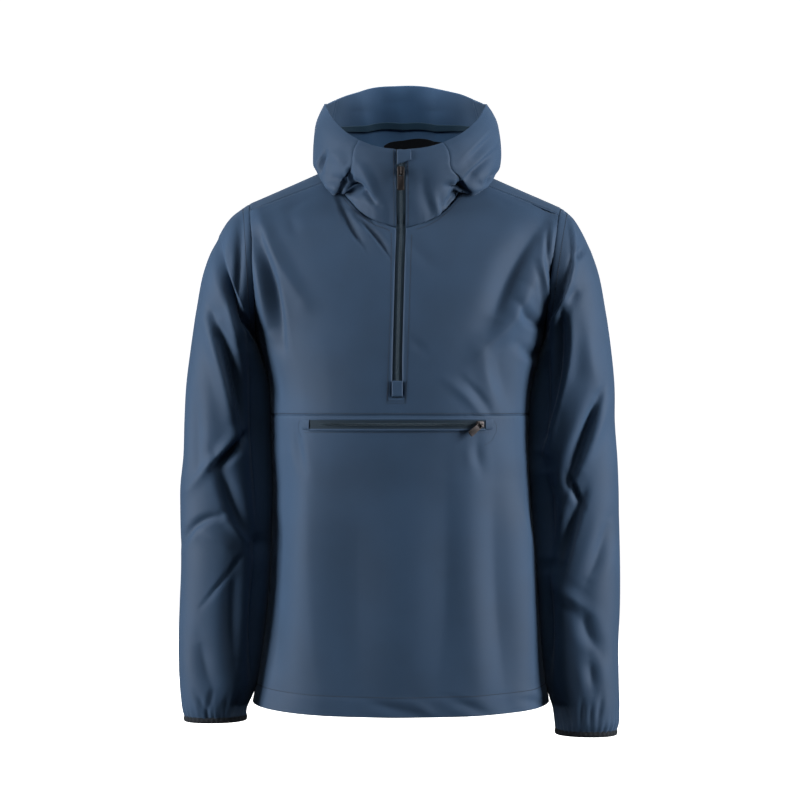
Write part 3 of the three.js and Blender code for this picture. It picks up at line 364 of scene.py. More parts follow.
TORSO_DEPTHS = table(
    "level front back roundness",
    (14, 46, 52, 2.0), (0, 56, 66, 2.0), (-24, 67, 84, 2.0), (-40, 75, 93, 2.05),
    (-57, 86, 101, 2.1), (-76, 99, 108, 2.1), (-94, 109, 114, 2.15), (-120, 119, 120, 2.2),
    (-150, 127, 124, 2.25), (-190, 133, 126, 2.3), (-235, 137, 125, 2.35),
    (-345, 138, 116, 2.35), (-462, 133, 108, 2.3), (-600, 130, 114, 2.3),
    (-760, 129, 125, 2.3),
)
TORSO_WIDTHS = table(
    "level left right",
    (-230, 202, 197), (-266, 193, 188), (-294, 185, 181), (-324, 181, 175), (-414, 179, 174),
    (-462, 178, 177), (-500, 181, 181), (-563, 183, 184), (-624, 188, 189), (-683, 196, 194),
    (-742, 206, 203), (-760, 208, 204),
)
NECK_HALF_WIDTH = {"left": 87, "right": 83}
ARMHOLE = {
    "left": dict(topX=211, topZ=-54.5, middleX=201, bottomX=201.5, bottomZ=-235),
    "right": dict(topX=220, topZ=-60, middleX=202, bottomX=197.8, bottomZ=-232),
}
ARMHOLE_HALF_DEPTH = 82
ARMHOLE_ROUNDNESS = 2.2
ARMHOLE_TURNS = (0, 12, 32, 50, 68, 86, 104, 122, 140, 158, 170, 180)
SHOULDER_SEAM_TURN = 32
BACK_ARC_TURN = 50
CHEST_SEAM_LEVEL = -345
SIDE_LEVELS = (-345, -308, -271)
BODY_LEVELS = (-737, -700, -655, -600, -545, -495, -445, -395)
HEM_DROP = 9
NECK = dict(halfWidth=90, centreY=-22, front=86, back=88, roundness=2.3)
NECK_TURNS = (12, 24, 38, 56, 65, 74, 88, 104, 120, 140, 160, 180)
SHOULDER_AT_NECK_TURN = 74
HOOD_SEAM_TURN = 120
SHOULDER_COLUMNS = 6
ZIP_HALF_OPENING = 6.4
ZIP_BOTTOM_LEVEL = -321
ZIP_TOP_LEVEL = -94
ZIP_LEAN = table("level x", (20, -2), (-94, -1.4), (-150, -3.2), (-300, -6.8), (-345, -6.9))
SIDES = {"left": -1, "right": 1}
print("torso has", len(TORSO_DEPTHS), "sections")

# %% [markdown]
# The curve through a table, and the torso's level sections. A section is a superellipse, which is
# an oval with fuller corners, wide as the shoulders and deep as the chest.

# %% Sections of the torso


def lerp(a, b, t):
    return a + (b - a) * t


def power(value, exponent):
    return math.copysign(abs(value) ** exponent, value)


def smoothstep(x, low, high):
    t = min(max((x - low) / (high - low), 0), 1)
    return t * t * (3 - 2 * t)


def through(rows, by, key):
    """A smooth curve through one column of a table, looked up by another column."""
    rows = sorted(rows, key=lambda row: row[by])
    at = [row[by] for row in rows]
    value = [row[key] for row in rows]
    last = len(at) - 1
    slope = []
    for i in range(last + 1):
        before, after = max(i - 1, 0), min(i + 1, last)
        slope.append((value[after] - value[before]) / (at[after] - at[before]))

    def look_up(wanted):
        x = min(max(wanted, at[0]), at[last])
        i = min(max(bisect_left(at, x) - 1, 0), last - 1)
        span = at[i + 1] - at[i]
        t = (x - at[i]) / span
        ends = (1 + 2 * t) * (1 - t) ** 2 * value[i] + t * t * (3 - 2 * t) * value[i + 1]
        return ends + t * (1 - t) * span * ((1 - t) * slope[i] - t * slope[i + 1])
    return look_up


depth_of = {face: through(TORSO_DEPTHS, "level", face) for face in ("front", "back")}
width_of = {side: through(TORSO_WIDTHS, "level", side) for side in SIDES}
roundness_at = through(TORSO_DEPTHS, "level", "roundness")
zip_x = through(ZIP_LEAN, "level", "x")


def armhole_point(side, turn):
    """The armhole is an oval, from the shoulder at turn 0 to the armpit at turn 180."""
    hole = ARMHOLE[side]
    a = math.radians(turn)
    rise = power(math.cos(a), 2 / ARMHOLE_ROUNDNESS)
    reach = power(math.sin(a), 2 / ARMHOLE_ROUNDNESS)
    middle = hole["middleX"] - (hole["topX"] + hole["bottomX"]) / 2
    x = lerp(hole["bottomX"], hole["topX"], (1 + rise) / 2) + middle * math.sin(a)
    return x, ARMHOLE_HALF_DEPTH * reach, lerp(hole["bottomZ"], hole["topZ"], (1 + rise) / 2)


def armhole_turn_at(side, level):
    hole = ARMHOLE[side]
    rise = 2 * (level - hole["bottomZ"]) / (hole["topZ"] - hole["bottomZ"]) - 1
    return math.degrees(math.acos(min(max(power(rise, ARMHOLE_ROUNDNESS / 2), -1), 1)))


def torso_edge(side, level):
    """How far out the torso's cloth ends at a level, and how deep it is there."""
    hole = ARMHOLE[side]
    if level >= hole["topZ"]:
        return lerp(NECK_HALF_WIDTH[side], hole["topX"], level / hole["topZ"]), 0
    if level <= hole["bottomZ"]:
        return width_of[side](level), 0
    x, depth, _ = armhole_point(side, armhole_turn_at(side, level))
    return x, depth


def torso_reach(side, face, level):
    x, depth = torso_edge(side, level)
    n = roundness_at(level)
    share = min(depth / depth_of[face](level), 0.98)
    return x / (1 - share ** n) ** (1 / n)


def torso_angle(side, face, x, level):
    share = min(abs(x) / torso_reach(side, face, level), 1)
    return math.asin(share ** (roundness_at(level) / 2))


def torso_edge_angle(side, face, level):
    return torso_angle(side, face, torso_edge(side, level)[0], level)


def torso_point(side, face, angle, level):
    n = roundness_at(level)
    x = SIDES[side] * torso_reach(side, face, level) * power(math.sin(angle), 2 / n)
    y = depth_of[face](level) * max(math.cos(angle), 0) ** (2 / n)
    return (x, -y if face == "front" else y, level)


def shoulder_level(x, y):
    """How high the shoulder is above a point of the floor plan, found by halving."""
    side = "left" if x < 0 else "right"
    face = "front" if y < 0 else "back"
    low, high = -130, 13
    for _ in range(26):
        level = (low + high) / 2
        n = roundness_at(level)
        in_x = (abs(x) / torso_reach(side, face, level)) ** n
        if in_x + (abs(y) / depth_of[face](level)) ** n > 1:
            high = level
        else:
            low = level
    return (low + high) / 2


def neck_point(side, turn):
    a = math.radians(turn)
    x = SIDES[side] * NECK["halfWidth"] * power(math.sin(a), 2 / NECK["roundness"])
    reach = NECK["front"] if math.cos(a) > 0 else NECK["back"]
    y = NECK["centreY"] - reach * power(math.cos(a), 2 / NECK["roundness"])
    return (x, y, shoulder_level(x, y))


def zip_edge_x(side, level):
    return zip_x(level) + SIDES[side] * ZIP_HALF_OPENING


def zip_neck_point(side):
    x = zip_edge_x(side, ZIP_TOP_LEVEL)
    angle = torso_angle(side, "front", x, ZIP_TOP_LEVEL)
    return torso_point(side, "front", angle, ZIP_TOP_LEVEL)


def shoulder_seam_point(side, t):
    start = neck_point(side, SHOULDER_AT_NECK_TURN)
    hole_x, _, hole_z = armhole_point(side, SHOULDER_SEAM_TURN)
    x = lerp(abs(start[0]), hole_x, t)
    level = lerp(start[2], hole_z, t)
    return torso_point(side, "front", torso_angle(side, "front", x, level), level)


print("chest is", round(2 * torso_edge("right", -260)[0]), "mm wide at the armpits")

# %% [markdown]
# ## Nets for the panels
# A net is a coarse grid of points that a panel passes through. The edges come first, because two
# panels that are sewn together share them. The inside is then filled between the four edges.

# %% Nets of the front and back


def fill_grid(bottom, top, first, last):
    """Fills a grid of number lists from its four edges."""
    bottom, top, first, last = (np.array(edge, float) for edge in (bottom, top, first, last))
    u = np.linspace(0, 1, len(bottom))[None, :, None]
    v = np.linspace(0, 1, len(first))[:, None, None]
    corners = lerp(lerp(bottom[0], bottom[-1], u), lerp(top[0], top[-1], u), v)
    return lerp(bottom[None], top[None], v) + lerp(first[:, None], last[:, None], u) - corners


def front_top_edge(side):
    neck = [neck_point(side, turn) for turn in NECK_TURNS if turn <= SHOULDER_AT_NECK_TURN]
    seam = [shoulder_seam_point(side, (i + 1) / SHOULDER_COLUMNS) for i in range(SHOULDER_COLUMNS)]
    return [zip_neck_point(side), *neck, *seam]


def upper_front_half(side):
    top = [(torso_angle(side, "front", x, z), z) for x, _, z in front_top_edge(side)]
    turns = [turn for turn in reversed(ARMHOLE_TURNS) if turn >= SHOULDER_SEAM_TURN]
    levels = [*SIDE_LEVELS, *(armhole_point(side, turn)[2] for turn in turns)]
    last = [(torso_edge_angle(side, "front", level), level) for level in levels]
    first = []
    for level in levels:
        z = lerp(levels[0], top[0][1], (level - levels[0]) / (levels[-1] - levels[0]))
        first.append((torso_angle(side, "front", zip_edge_x(side, z), z), z))
    columns = len(top) - 1
    bottom = [(lerp(first[0][0], last[0][0], i / columns), levels[0]) for i in range(columns + 1)]
    angles = fill_grid(bottom, top, first, last)
    return [[torso_point(side, "front", angle, level) for angle, level in row] for row in angles]


def upper_front_net():
    left, right = upper_front_half("left"), upper_front_half("right")
    slit_column = len(left[0]) - 1
    slit_row = next(j for j, row in enumerate(left) if row[0][2] > ZIP_BOTTOM_LEVEL)
    net = [[*reversed(left[j]), *right[j]] for j in range(len(left))]
    for i in (slit_column, slit_column + 1):
        x, y, _ = net[slit_row][i]
        net[slit_row][i] = (x, y, ZIP_BOTTOM_LEVEL)
    return net, slit_column, slit_row


def lower_front_net(top_row, slit_column):
    net = []
    for level in (*BODY_LEVELS, CHEST_SEAM_LEVEL):
        row = []
        share = (CHEST_SEAM_LEVEL - level) / (CHEST_SEAM_LEVEL - BODY_LEVELS[0])
        for i, (x, _, _) in enumerate(top_row):
            side = "left" if i <= slit_column else "right"
            angle = torso_angle(side, "front", x, CHEST_SEAM_LEVEL)
            drop = HEM_DROP * share * math.cos(angle)
            row.append(torso_point(side, "front", angle, level - drop))
        net.append(row)
    return net


def back_row(level_of, columns, hem=0):
    levels = {side: level_of(side) for side in SIDES}
    reach = {side: torso_edge_angle(side, "back", levels[side]) for side in SIDES}
    row = []
    for i in range(columns + 1):
        t = i / columns
        angle = lerp(reach["right"], -reach["left"], t)
        level = lerp(levels["right"], levels["left"], t) - hem * HEM_DROP * math.cos(angle)
        row.append(torso_point("right" if angle > 0 else "left", "back", abs(angle), level))
    return row


def over_shoulder(side):
    """The armhole's edge from the back, over the shoulder, to the forward shoulder seam."""
    behind = [(turn, 1) for turn in reversed(ARMHOLE_TURNS) if turn <= BACK_ARC_TURN]
    ahead = [(turn, -1) for turn in ARMHOLE_TURNS if 0 < turn <= SHOULDER_SEAM_TURN]
    edge = []
    for turn, face in (*behind, *ahead):
        x, depth, z = armhole_point(side, turn)
        edge.append((SIDES[side] * x, face * depth, z))
    return edge


def back_top_edge():
    def half(side):
        columns = range(SHOULDER_COLUMNS, 0, -1)
        seam = [shoulder_seam_point(side, i / SHOULDER_COLUMNS) for i in columns]
        turns = [turn for turn in NECK_TURNS if turn >= SHOULDER_AT_NECK_TURN]
        return [*seam, *(neck_point(side, turn) for turn in turns)]
    return [*half("right"), *list(reversed(half("left")))[1:]]


def back_net():
    top = back_top_edge()
    columns = len(top) - 1
    rows = []
    for j, level in enumerate(BODY_LEVELS):
        rows.append(back_row(lambda side, z=level: z, columns, 1 - j / len(BODY_LEVELS)))
    for level in SIDE_LEVELS:
        rows.append(back_row(lambda side, z=level: z, columns))
    for turn in reversed(ARMHOLE_TURNS):
        if turn >= BACK_ARC_TURN:
            rows.append(back_row(lambda side, a=turn: armhole_point(side, a)[2], columns))
    arc = rows.pop()
    ends = {side: over_shoulder(side) for side in SIDES}
    plan = fill_grid(*([p[:2] for p in edge] for edge in (arc, top, ends["right"], ends["left"])))
    last = len(plan) - 1
    for j, row in enumerate(plan):
        points = [(x, y, shoulder_level(x, y)) for x, y in row]
        if j == 0:
            points = list(arc)
        if j == last:
            points = list(top)
        points[0], points[-1] = ends["right"][j], ends["left"][j]
        rows.append(points)
    return rows


UPPER_NET, SLIT_COLUMN, SLIT_ROW = upper_front_net()
LOWER_NET = lower_front_net(UPPER_NET[0], SLIT_COLUMN)
BACK_NET = back_net()
print("upper front net", len(UPPER_NET), "by", len(UPPER_NET[0]), "points")

# %% [markdown]
# A sleeve is a tube of rings that start on the armhole's own oval and turn level towards the
# elbow. Each ring runs from an outer point to an inner one, and the last ones draw in to the cuff.

# %% Nets of the sleeves
SLEEVE_COLUMNS = "outerX outerZ innerX innerZ halfDepth centreY"
SLEEVE = {
    "left": table(
        SLEEVE_COLUMNS,
        (236, -74, 201, -247, 83, 0), (256, -106, 196.6, -260, 82, 0),
        (272, -145, 192.4, -274, 79, -1), (283, -200, 187.4, -292, 74, -2),
        (291, -254, 183.6, -318, 69, -3), (297, -303, 181.6, -345, 65, -4),
        (299.5, -352, 181, -376, 62, -4), (301, -402, 180.2, -414, 60, -5),
        (305, -441, 179.4, -446, 59, -6), (305, -476, 180.4, -478, 58, -8),
        (304, -512, 182.6, -512, 57, -10), (303.5, -556, 184.4, -556, 56, -13),
        (305, -602, 187.4, -602, 54, -16), (306, -650, 193, -650, 52, -20),
        (305, -700, 201, -699, 49, -24), (302.5, -731, 208, -730, 46, -26),
        (300, -747, 212.5, -746, 42, -27), (297, -757, 213.5, -756, 39, -27)),
    "right": table(
        SLEEVE_COLUMNS,
        (236, -75, 195.6, -245, 83, 0), (253, -104, 191.4, -258, 82, 0),
        (269, -145, 187.4, -272, 79, -1), (280, -200, 183.2, -290, 74, -2),
        (288, -255, 177.6, -318, 69, -3), (292.5, -303, 175.6, -345, 65, -4),
        (293, -352, 175.6, -376, 62, -4), (296.5, -404, 175.2, -414, 60, -5),
        (298, -442, 177.4, -446, 59, -6), (298.5, -478, 180, -478, 58, -8),
        (299, -514, 182.8, -512, 57, -10), (299.5, -558, 185.2, -556, 56, -13),
        (299, -606, 189, -604, 54, -16), (296.5, -658, 193.4, -656, 52, -20),
        (297, -712, 201.6, -710, 49, -24), (297.5, -748, 206.5, -747, 46, -26),
        (296, -768, 209.5, -767, 42, -27), (293, -776, 210.5, -775, 39, -27)),
}
SLEEVE_ROUNDNESS = 2.15
SEAM_GAP = 0.3
BINDING_HEIGHT = 5


def sleeve_turns(side):
    behind = [360 - turn for turn in reversed(ARMHOLE_TURNS[1:-1])]
    turns = [*ARMHOLE_TURNS, *behind, 360]
    return turns if side == "left" else turns[::-1]


def armhole_ring(side):
    ring = []
    for turn in sleeve_turns(side):
        x, depth, z = armhole_point(side, min(turn, 360 - turn))
        ring.append((SIDES[side] * x, -depth if turn <= 180 else depth, z))
    return ring


def sleeve_ring(side, row):
    ring = []
    for turn in sleeve_turns(side):
        a = math.radians(turn)
        along = (1 + power(math.cos(a), 2 / SLEEVE_ROUNDNESS)) / 2
        x = SIDES[side] * lerp(row["innerX"], row["outerX"], along)
        y = row["centreY"] - row["halfDepth"] * power(math.sin(a), 2 / SLEEVE_ROUNDNESS)
        ring.append((x, y, lerp(row["innerZ"], row["outerZ"], along)))
    return ring


def sleeve_net(side):
    rings = [armhole_ring(side), *(sleeve_ring(side, row) for row in SLEEVE[side])]
    return rings[::-1]


print("sleeve net", len(sleeve_net("left")), "rings")

# %% [markdown]
# The hood and collar are rings too. They climb from the neck seam and open towards the rim, rest
# on the shoulders at the sides, and hang out behind as a bag.

# %% Net of the hood
HOOD_RINGS = table(
    "left right front back frontZ sideZ backZ rest",
    (97, 98, -112, 88, -68, 1, -22, 1), (107, 110, -114, 118, -51, -1, -60, 1),
    (116, 125, -116, 150, -36, 2, -83, 0.9), (121, 133, -118, 178, -24, 11, -76, 0.6),
    (122, 136, -119, 194, -14, 25, -47, 0.3), (121, 135, -119, 196, -5, 41, -10, 0.1),
    (118, 131, -118, 184, 1, 58, 32, 0), (112, 124, -117, 160, 6, 73, 80, 0),
    (106, 116, -115, 130, 10, 84, 127, 0),
)
HOOD = dict(centreY=-8, roundness=2.2, frontDrop=1.35, backRise=1.6)
HOOD_CLEARANCE = dict(side=4.5, back=9, seam=-0.2)
HOOD_REST_TURNS = (36, 54, 100, 128)
RESTS_FROM_TURN = 38
COLLAR_SEAM = dict(neckTurn=56, rimTurn={"left": 31, "right": 26}, easesBy=104, leansBy=0.54)


def hood_rest(turn):
    """How far the hood rests on the shoulder: nothing in front and behind, all at the side."""
    begin, full, still, end = HOOD_REST_TURNS
    return smoothstep(turn, begin, full) * (1 - smoothstep(turn, still, end))


def hood_point(side, ring, turn):
    a = math.radians(turn)
    c = math.cos(a)
    x = SIDES[side] * ring[side] * power(math.sin(a), 2 / HOOD["roundness"])
    ahead = c > 0
    y = lerp(HOOD["centreY"], ring["front" if ahead else "back"], abs(c) ** (2 / HOOD["roundness"]))
    rise = abs(c) ** HOOD["frontDrop" if ahead else "backRise"]
    free = lerp(ring["sideZ"], ring["frontZ" if ahead else "backZ"], rise)
    behind = smoothstep(turn, SHOULDER_AT_NECK_TURN, HOOD_SEAM_TURN)
    resting = shoulder_level(x, y) + lerp(HOOD_CLEARANCE["side"], HOOD_CLEARANCE["back"], behind)
    z = lerp(free, resting, ring["rest"] * hood_rest(turn))
    return (x, y, max(z, resting) if turn > RESTS_FROM_TURN else z)


def hood_turn(side, turn, climb):
    """The collar's seam starts far back at the neck and leans forward as it climbs to the rim."""
    start = COLLAR_SEAM["neckTurn"]
    leant = smoothstep(climb, 0, COLLAR_SEAM["leansBy"])
    moved = (start - COLLAR_SEAM["rimTurn"][side]) * leant
    if turn <= start:
        return turn * (1 - moved / start)
    return turn - moved * (1 - smoothstep(turn, start, COLLAR_SEAM["easesBy"]))


def hood_half(side):
    seam = [zip_neck_point(side)]
    for turn in NECK_TURNS:
        x, y, z = neck_point(side, turn)
        seam.append((x, y, z + HOOD_CLEARANCE["seam"]))
    rings = []
    for j, ring in enumerate(HOOD_RINGS):
        share = abs(zip_edge_x(side, ring["frontZ"])) / ring[side]
        first = math.degrees(math.asin(share ** (HOOD["roundness"] / 2)))
        turns = [hood_turn(side, turn, (j + 1) / len(HOOD_RINGS)) for turn in NECK_TURNS]
        rings.append([hood_point(side, ring, turn) for turn in (first, *turns)])
    return [seam, *rings]


def hood_net():
    left, right = hood_half("left"), hood_half("right")
    return [[*right[j], *left[j][::-1][1:]] for j in range(len(right))]


HOOD_NET = hood_net()
HOOD_COLUMNS = len(HOOD_NET[0]) - 1
COLLAR_CELLS = 1 + NECK_TURNS.index(COLLAR_SEAM["neckTurn"])
SIDE_CELLS = 1 + NECK_TURNS.index(HOOD_SEAM_TURN)
HOOD_PIECES = {
    "collar_front_right": (0, COLLAR_CELLS),
    "hood_side_right": (COLLAR_CELLS, SIDE_CELLS),
    "hood_centre": (SIDE_CELLS, HOOD_COLUMNS - SIDE_CELLS),
    "hood_side_left": (HOOD_COLUMNS - SIDE_CELLS, HOOD_COLUMNS - COLLAR_CELLS),
    "collar_front_left": (HOOD_COLUMNS - COLLAR_CELLS, HOOD_COLUMNS),
}
print("hood net", len(HOOD_NET), "by", HOOD_COLUMNS + 1, "points")

# %% [markdown]
# ## From a net to cloth
# A smooth surface is drawn through each net, with a mesh point every few millimetres. bmesh gives
# the flat grid, and each of its points is moved to its place on the panel. Creases are then pushed
# in along the cloth's own outward direction. Doing it in this order keeps seams together.

# %% Drawing a fine surface through a net
CLOTH = 1.8
CELL = 3.2
EDGE_STEPS = (0.22, 0.55)


def index_steps(net, size, keep=()):
    """Places along a net's rows, as row numbers with fractions, about `size` mm apart."""
    lengths = np.linalg.norm(np.diff(net, axis=0), axis=2).mean(axis=1)
    total = np.concatenate([[0], np.cumsum(lengths)])
    numbers = np.arange(len(total))
    stops = [0, *keep, len(total) - 1]
    steps = [0.0]
    for start, end in zip(stops, stops[1:]):
        near, far = np.interp([start, end], numbers, total)
        count = max(round((far - near) / size), 1)
        steps += list(np.interp(np.linspace(near, far, count + 1)[1:], total, numbers))
    return np.array(steps)


def with_edges(steps, closed=False):
    """Adds a close step beside each end, so a seam's edge can roll in."""
    if closed:
        return steps
    first, last = steps[1] - steps[0], steps[-1] - steps[-2]
    near_first = [steps[0] + share * first for share in EDGE_STEPS]
    near_last = [steps[-1] - share * last for share in EDGE_STEPS]
    return np.sort(np.concatenate([steps, near_first, near_last]))


def smooth_weights(net, steps, closed=False):
    """How much each row of a net gives to each step of the curve through it."""
    count = len(net)
    span = np.linalg.norm(np.diff(net, axis=0), axis=2).mean(axis=1)
    slopes = np.zeros((count, count))
    for i in range(count):
        before, after = i - 1, i
        if closed and i in (0, count - 1):
            before, after = count - 2, 0
        elif i == 0 or i == count - 1:
            before = after = min(i, count - 2)
        for near, far in ((before, after), (after, before)):
            share = span[far] / (span[near] + span[far]) / span[near]
            slopes[i, near + 1] += share
            slopes[i, near] -= share
    weights = np.zeros((len(steps), count))
    for k, step in enumerate(steps):
        i = min(int(step), count - 2)
        t = step - i
        weights[k, i] += (1 + 2 * t) * (1 - t) ** 2
        weights[k, i + 1] += t * t * (3 - 2 * t)
        weights[k] += span[i] * t * (1 - t) * ((1 - t) * slopes[i] - t * slopes[i + 1])
    return weights


def outward(points, closed=False):
    """The outward direction at each point of a fine surface."""
    across = np.gradient(points, axis=1)
    if closed:
        seam = (points[:, 1] - points[:, -2]) / 2
        across[:, 0] = across[:, -1] = seam
    direction = np.cross(across, np.gradient(points, axis=0))
    return direction / np.maximum(np.linalg.norm(direction, axis=2, keepdims=True), 1e-9)


def lengths_along(points, axis):
    """Distance walked along the rows or columns of a fine surface, in mm."""
    steps = np.linalg.norm(np.diff(points, axis=axis), axis=2)
    first = np.zeros_like(np.take(steps, [0], axis=axis))
    return np.concatenate([first, np.cumsum(steps, axis=axis)], axis=axis)


print("one cell of cloth is", CELL, "mm")

# %% [markdown]
# ## Creases
# A crease is a soft trough, with a ridge of spare cloth beside it. Its two ends are given as they
# are seen from the camera, as pixels of the picture, and it acts on the cloth that faces the
# camera. A crease on the hidden side is given by its place on the garment instead. `steep` makes
# one flank of the trough that much steeper, which gives the crisp edge of a fold: the flank on
# the left of a crease that runs down the picture, or on its right where `steep` is negative.
# `bow` bends the crease by that many pixels at its middle, and `lip` scales the spare cloth
# beside it.

# %% Creases
PIXEL = 1.38
PICTURE_MIDDLE = 400


def seen_at(points):
    """Where points show in the picture, in its pixels."""
    x, y, z = (points[..., k] for k in range(3))
    near = DISTANCE / MM / (DISTANCE / MM + y) / PIXEL
    return (PICTURE_MIDDLE + (x - EYE[0] / MM) * near, PICTURE_MIDDLE - (z - EYE[2] / MM) * near)


FULLNESS = 1.55
TROUGH_POWER = 1.6
RIDGE = dict(at=1.9, width=0.9, height=0.24, lean=0.06)
CREASE_ENDS = dict(depth=0.25, reach=1.5)


def crease_depth(creases, a, b, unit):
    """The depth of a list of creases at places a, b. One step of a or b is `unit` mm."""
    depth = np.zeros_like(a)
    for crease in creases:
        start_a, start_b = crease["a1"], crease["b1"]
        run_a, run_b = crease["a2"] - start_a, crease["b2"] - start_b
        length = math.hypot(run_a, run_b)
        t = ((a - start_a) * run_a + (b - start_b) * run_b) / length ** 2
        inside = np.clip(t, 0, 1)
        bow = crease.get("bow", 0) * 4 * inside * (1 - inside)
        side = ((b - start_b) * run_a - (a - start_a) * run_b) / length - bow
        beyond = (t - inside) * length
        wide = crease["width"] / unit
        steep = crease.get("steep", 1)
        off = side / wide * np.where(side * steep > 0, abs(steep), 1)
        trough = np.exp(-np.abs(off) ** TROUGH_POWER)
        ridge = np.exp(-((np.abs(off) - RIDGE["at"]) / RIDGE["width"]) ** 2)
        ridge *= RIDGE["height"] + RIDGE["lean"] * np.tanh(3 * off)
        ridge *= crease.get("lip", 1)
        end = CREASE_ENDS["depth"]
        fade = end + (1 - end) * np.sin(math.pi * np.clip(inside, 0.04, 0.96)) ** 0.8
        tail = np.exp(-(beyond / (CREASE_ENDS["reach"] * wide)) ** 2)
        depth += crease["depth"] * fade * tail * (trough - ridge)
    return FULLNESS * depth


def crease_table(*rows):
    return table("a1 b1 a2 b2 width depth bow steep lip", *rows)


print("the picture shows", round(PIXEL, 2), "mm a pixel")

# %% [markdown]
# ## Making a piece of cloth
# Each panel is one object: its grid, its smooth surface, its creases and a rolled-in edge at every
# seam. Beside a seam the cloth also puckers a little, since the thread is tighter than the cloth.
# A Solidify modifier then gives the cloth its thickness, inwards, and a thin rim.

# %% The cloth maker
EDGE_ROLL = 0.8
EDGE_REACH = 1.6
PUCKER = dict(height=0.3, spacing=11, reach=9, drift=2.1, driftLength=23, swellLength=37)
FACING = dict(gain=1.6, start=0.2)
CLOTH_WELD = 0.00001
surfaces = {}


def facing_share(normals, front=True):
    """1 on cloth that faces the camera, 0 on cloth that faces away."""
    towards = -normals[..., 1] if front else normals[..., 1]
    share = np.clip(towards * FACING["gain"] + FACING["start"], 0, 1)
    return share * share * (3 - 2 * share)


def seam_relief(points, seams):
    """How far the cloth sinks along the seams at its edges, with uneven puckers."""
    along, up = lengths_along(points, 1), lengths_along(points, 0)
    edges = {"first": (along, up), "last": (along[:, -1:] - along, up),
             "bottom": (up, along), "top": (up[-1:] - up, along)}
    relief = np.zeros(along.shape)
    for name in seams:
        away, beside = edges[name]
        drift = PUCKER["drift"] * np.sin(beside / PUCKER["driftLength"])
        wave = np.sin(2 * math.pi * beside / PUCKER["spacing"] + drift)
        wave = wave * (0.6 + 0.4 * np.sin(beside / PUCKER["swellLength"] + 1))
        relief += EDGE_ROLL * np.exp(-(away / EDGE_REACH) ** 2)
        relief += PUCKER["height"] * wave * np.exp(-(away / PUCKER["reach"]) ** 2)
    return relief


def cloth_mesh(points, along, up, missing=None, closed=False):
    """A bmesh grid laid over the points, with a UV map in metres."""
    rows, columns = points.shape[0] - 1, points.shape[1] - 1
    mesh = bmesh.new()
    bmesh.ops.create_grid(mesh, x_segments=columns, y_segments=rows, size=1)
    place = {}
    for v in mesh.verts:
        i = round((v.co.x + 1) / 2 * columns)
        j = round((v.co.y + 1) / 2 * rows)
        place[v] = (j, i)
        v.co = Vector(points[j, i]) * MM
    uv = mesh.loops.layers.uv.new("cloth")
    for face in mesh.faces:
        for loop in face.loops:
            j, i = place[loop.vert]
            loop[uv].uv = (along[j, i] * MM, up[j, i] * MM)
    if missing:
        gone = [f for f in mesh.faces if all(missing(*place[v]) for v in f.verts)]
        bmesh.ops.delete(mesh, geom=gone, context="FACES")
    if closed:
        bmesh.ops.remove_doubles(mesh, verts=mesh.verts, dist=CLOTH_WELD)
    return mesh


def add_piece(name, mesh, finish, node=None, body="root"):
    """Turns a bmesh into an object that rides on a body and may stand for a CAD node."""
    piece = mesh_object(name, mesh)
    piece.data.materials.append(finish)
    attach(piece, body)
    if node:
        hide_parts(node)
    return piece


def thicken(piece, thickness):
    wall = piece.modifiers.new("wall", "SOLIDIFY")
    wall.thickness = thickness * MM
    wall.offset = -1
    wall.use_rim = True


LEAST_SHARE = 0.31


def cloth_area(points):
    """The area of a surface in square metres."""
    a = points[1:, 1:] - points[:-1, :-1]
    b = points[1:, :-1] - points[:-1, 1:]
    return float(np.linalg.norm(np.cross(a, b), axis=2).sum() / 2) * MM ** 2


def make_cloth(name, net, finish=SOFTSHELL, creases=(), hidden=(), seams=(), closed=False,
               size=CELL, keep=((), ()), missing=None, thickness=CLOTH, out=0.0,
               shape=None, ease=1.05, cut=None, node=True):
    """Builds, shapes and thickens one panel, and prints its cut and its area of cloth. `ease` is
    what its seams take up.
    """
    net = np.array(net, float)
    row_steps = with_edges(index_steps(net, size, keep[0]))
    column_steps = with_edges(index_steps(net.swapaxes(0, 1), size, keep[1]), closed)
    rows = smooth_weights(net, row_steps)
    columns = smooth_weights(net.swapaxes(0, 1), column_steps, closed)
    points = np.einsum("ri,ijk,cj->rck", rows, net, columns)
    normals = outward(points, closed)
    area = cloth_area(points)
    a, b = seen_at(points)
    sunk = crease_depth(creases, a, b, PIXEL) * facing_share(normals)
    sunk += crease_depth(hidden, points[..., 0], points[..., 2], 1) * facing_share(normals, False)
    sunk += seam_relief(points, seams)
    if shape is not None:
        sunk += shape(points, normals)
    if closed:
        sunk[:, -1] = sunk[:, 0]
        normals[:, -1] = normals[:, 0]
    along, up = lengths_along(points, 1), lengths_along(points, 0)
    points = points + normals * (out - sunk)[..., None]
    if missing:
        def inside(j, i):
            return missing(row_steps[j], column_steps[i])
    mesh = cloth_mesh(points, along, up, inside if missing else None, closed)
    piece = add_piece(f"{name}_cloth", mesh, finish, name if node else None)
    thicken(piece, thickness)
    surfaces[name] = dict(points=points, normals=outward(points, closed), along=along, up=up)
    width, length = cut or (float(along[:, -1].max()) * MM, float(up[-1].max()) * MM)
    area = min(max(area * ease, LEAST_SHARE * width * length), width * length)
    print(f"{name}: {width:.3f} by {length:.3f} m, {area:.3f} square metres of cloth")
    return piece


# %% [markdown]
# ## Front and back
# The upper front is one piece with a slit for the zip. It is fullest at the shoulders, where the
# weight of the sleeves pulls long creases down from the armholes. The lower front hangs straight
# and is nearly smooth, so only wide, shallow troughs shape it.

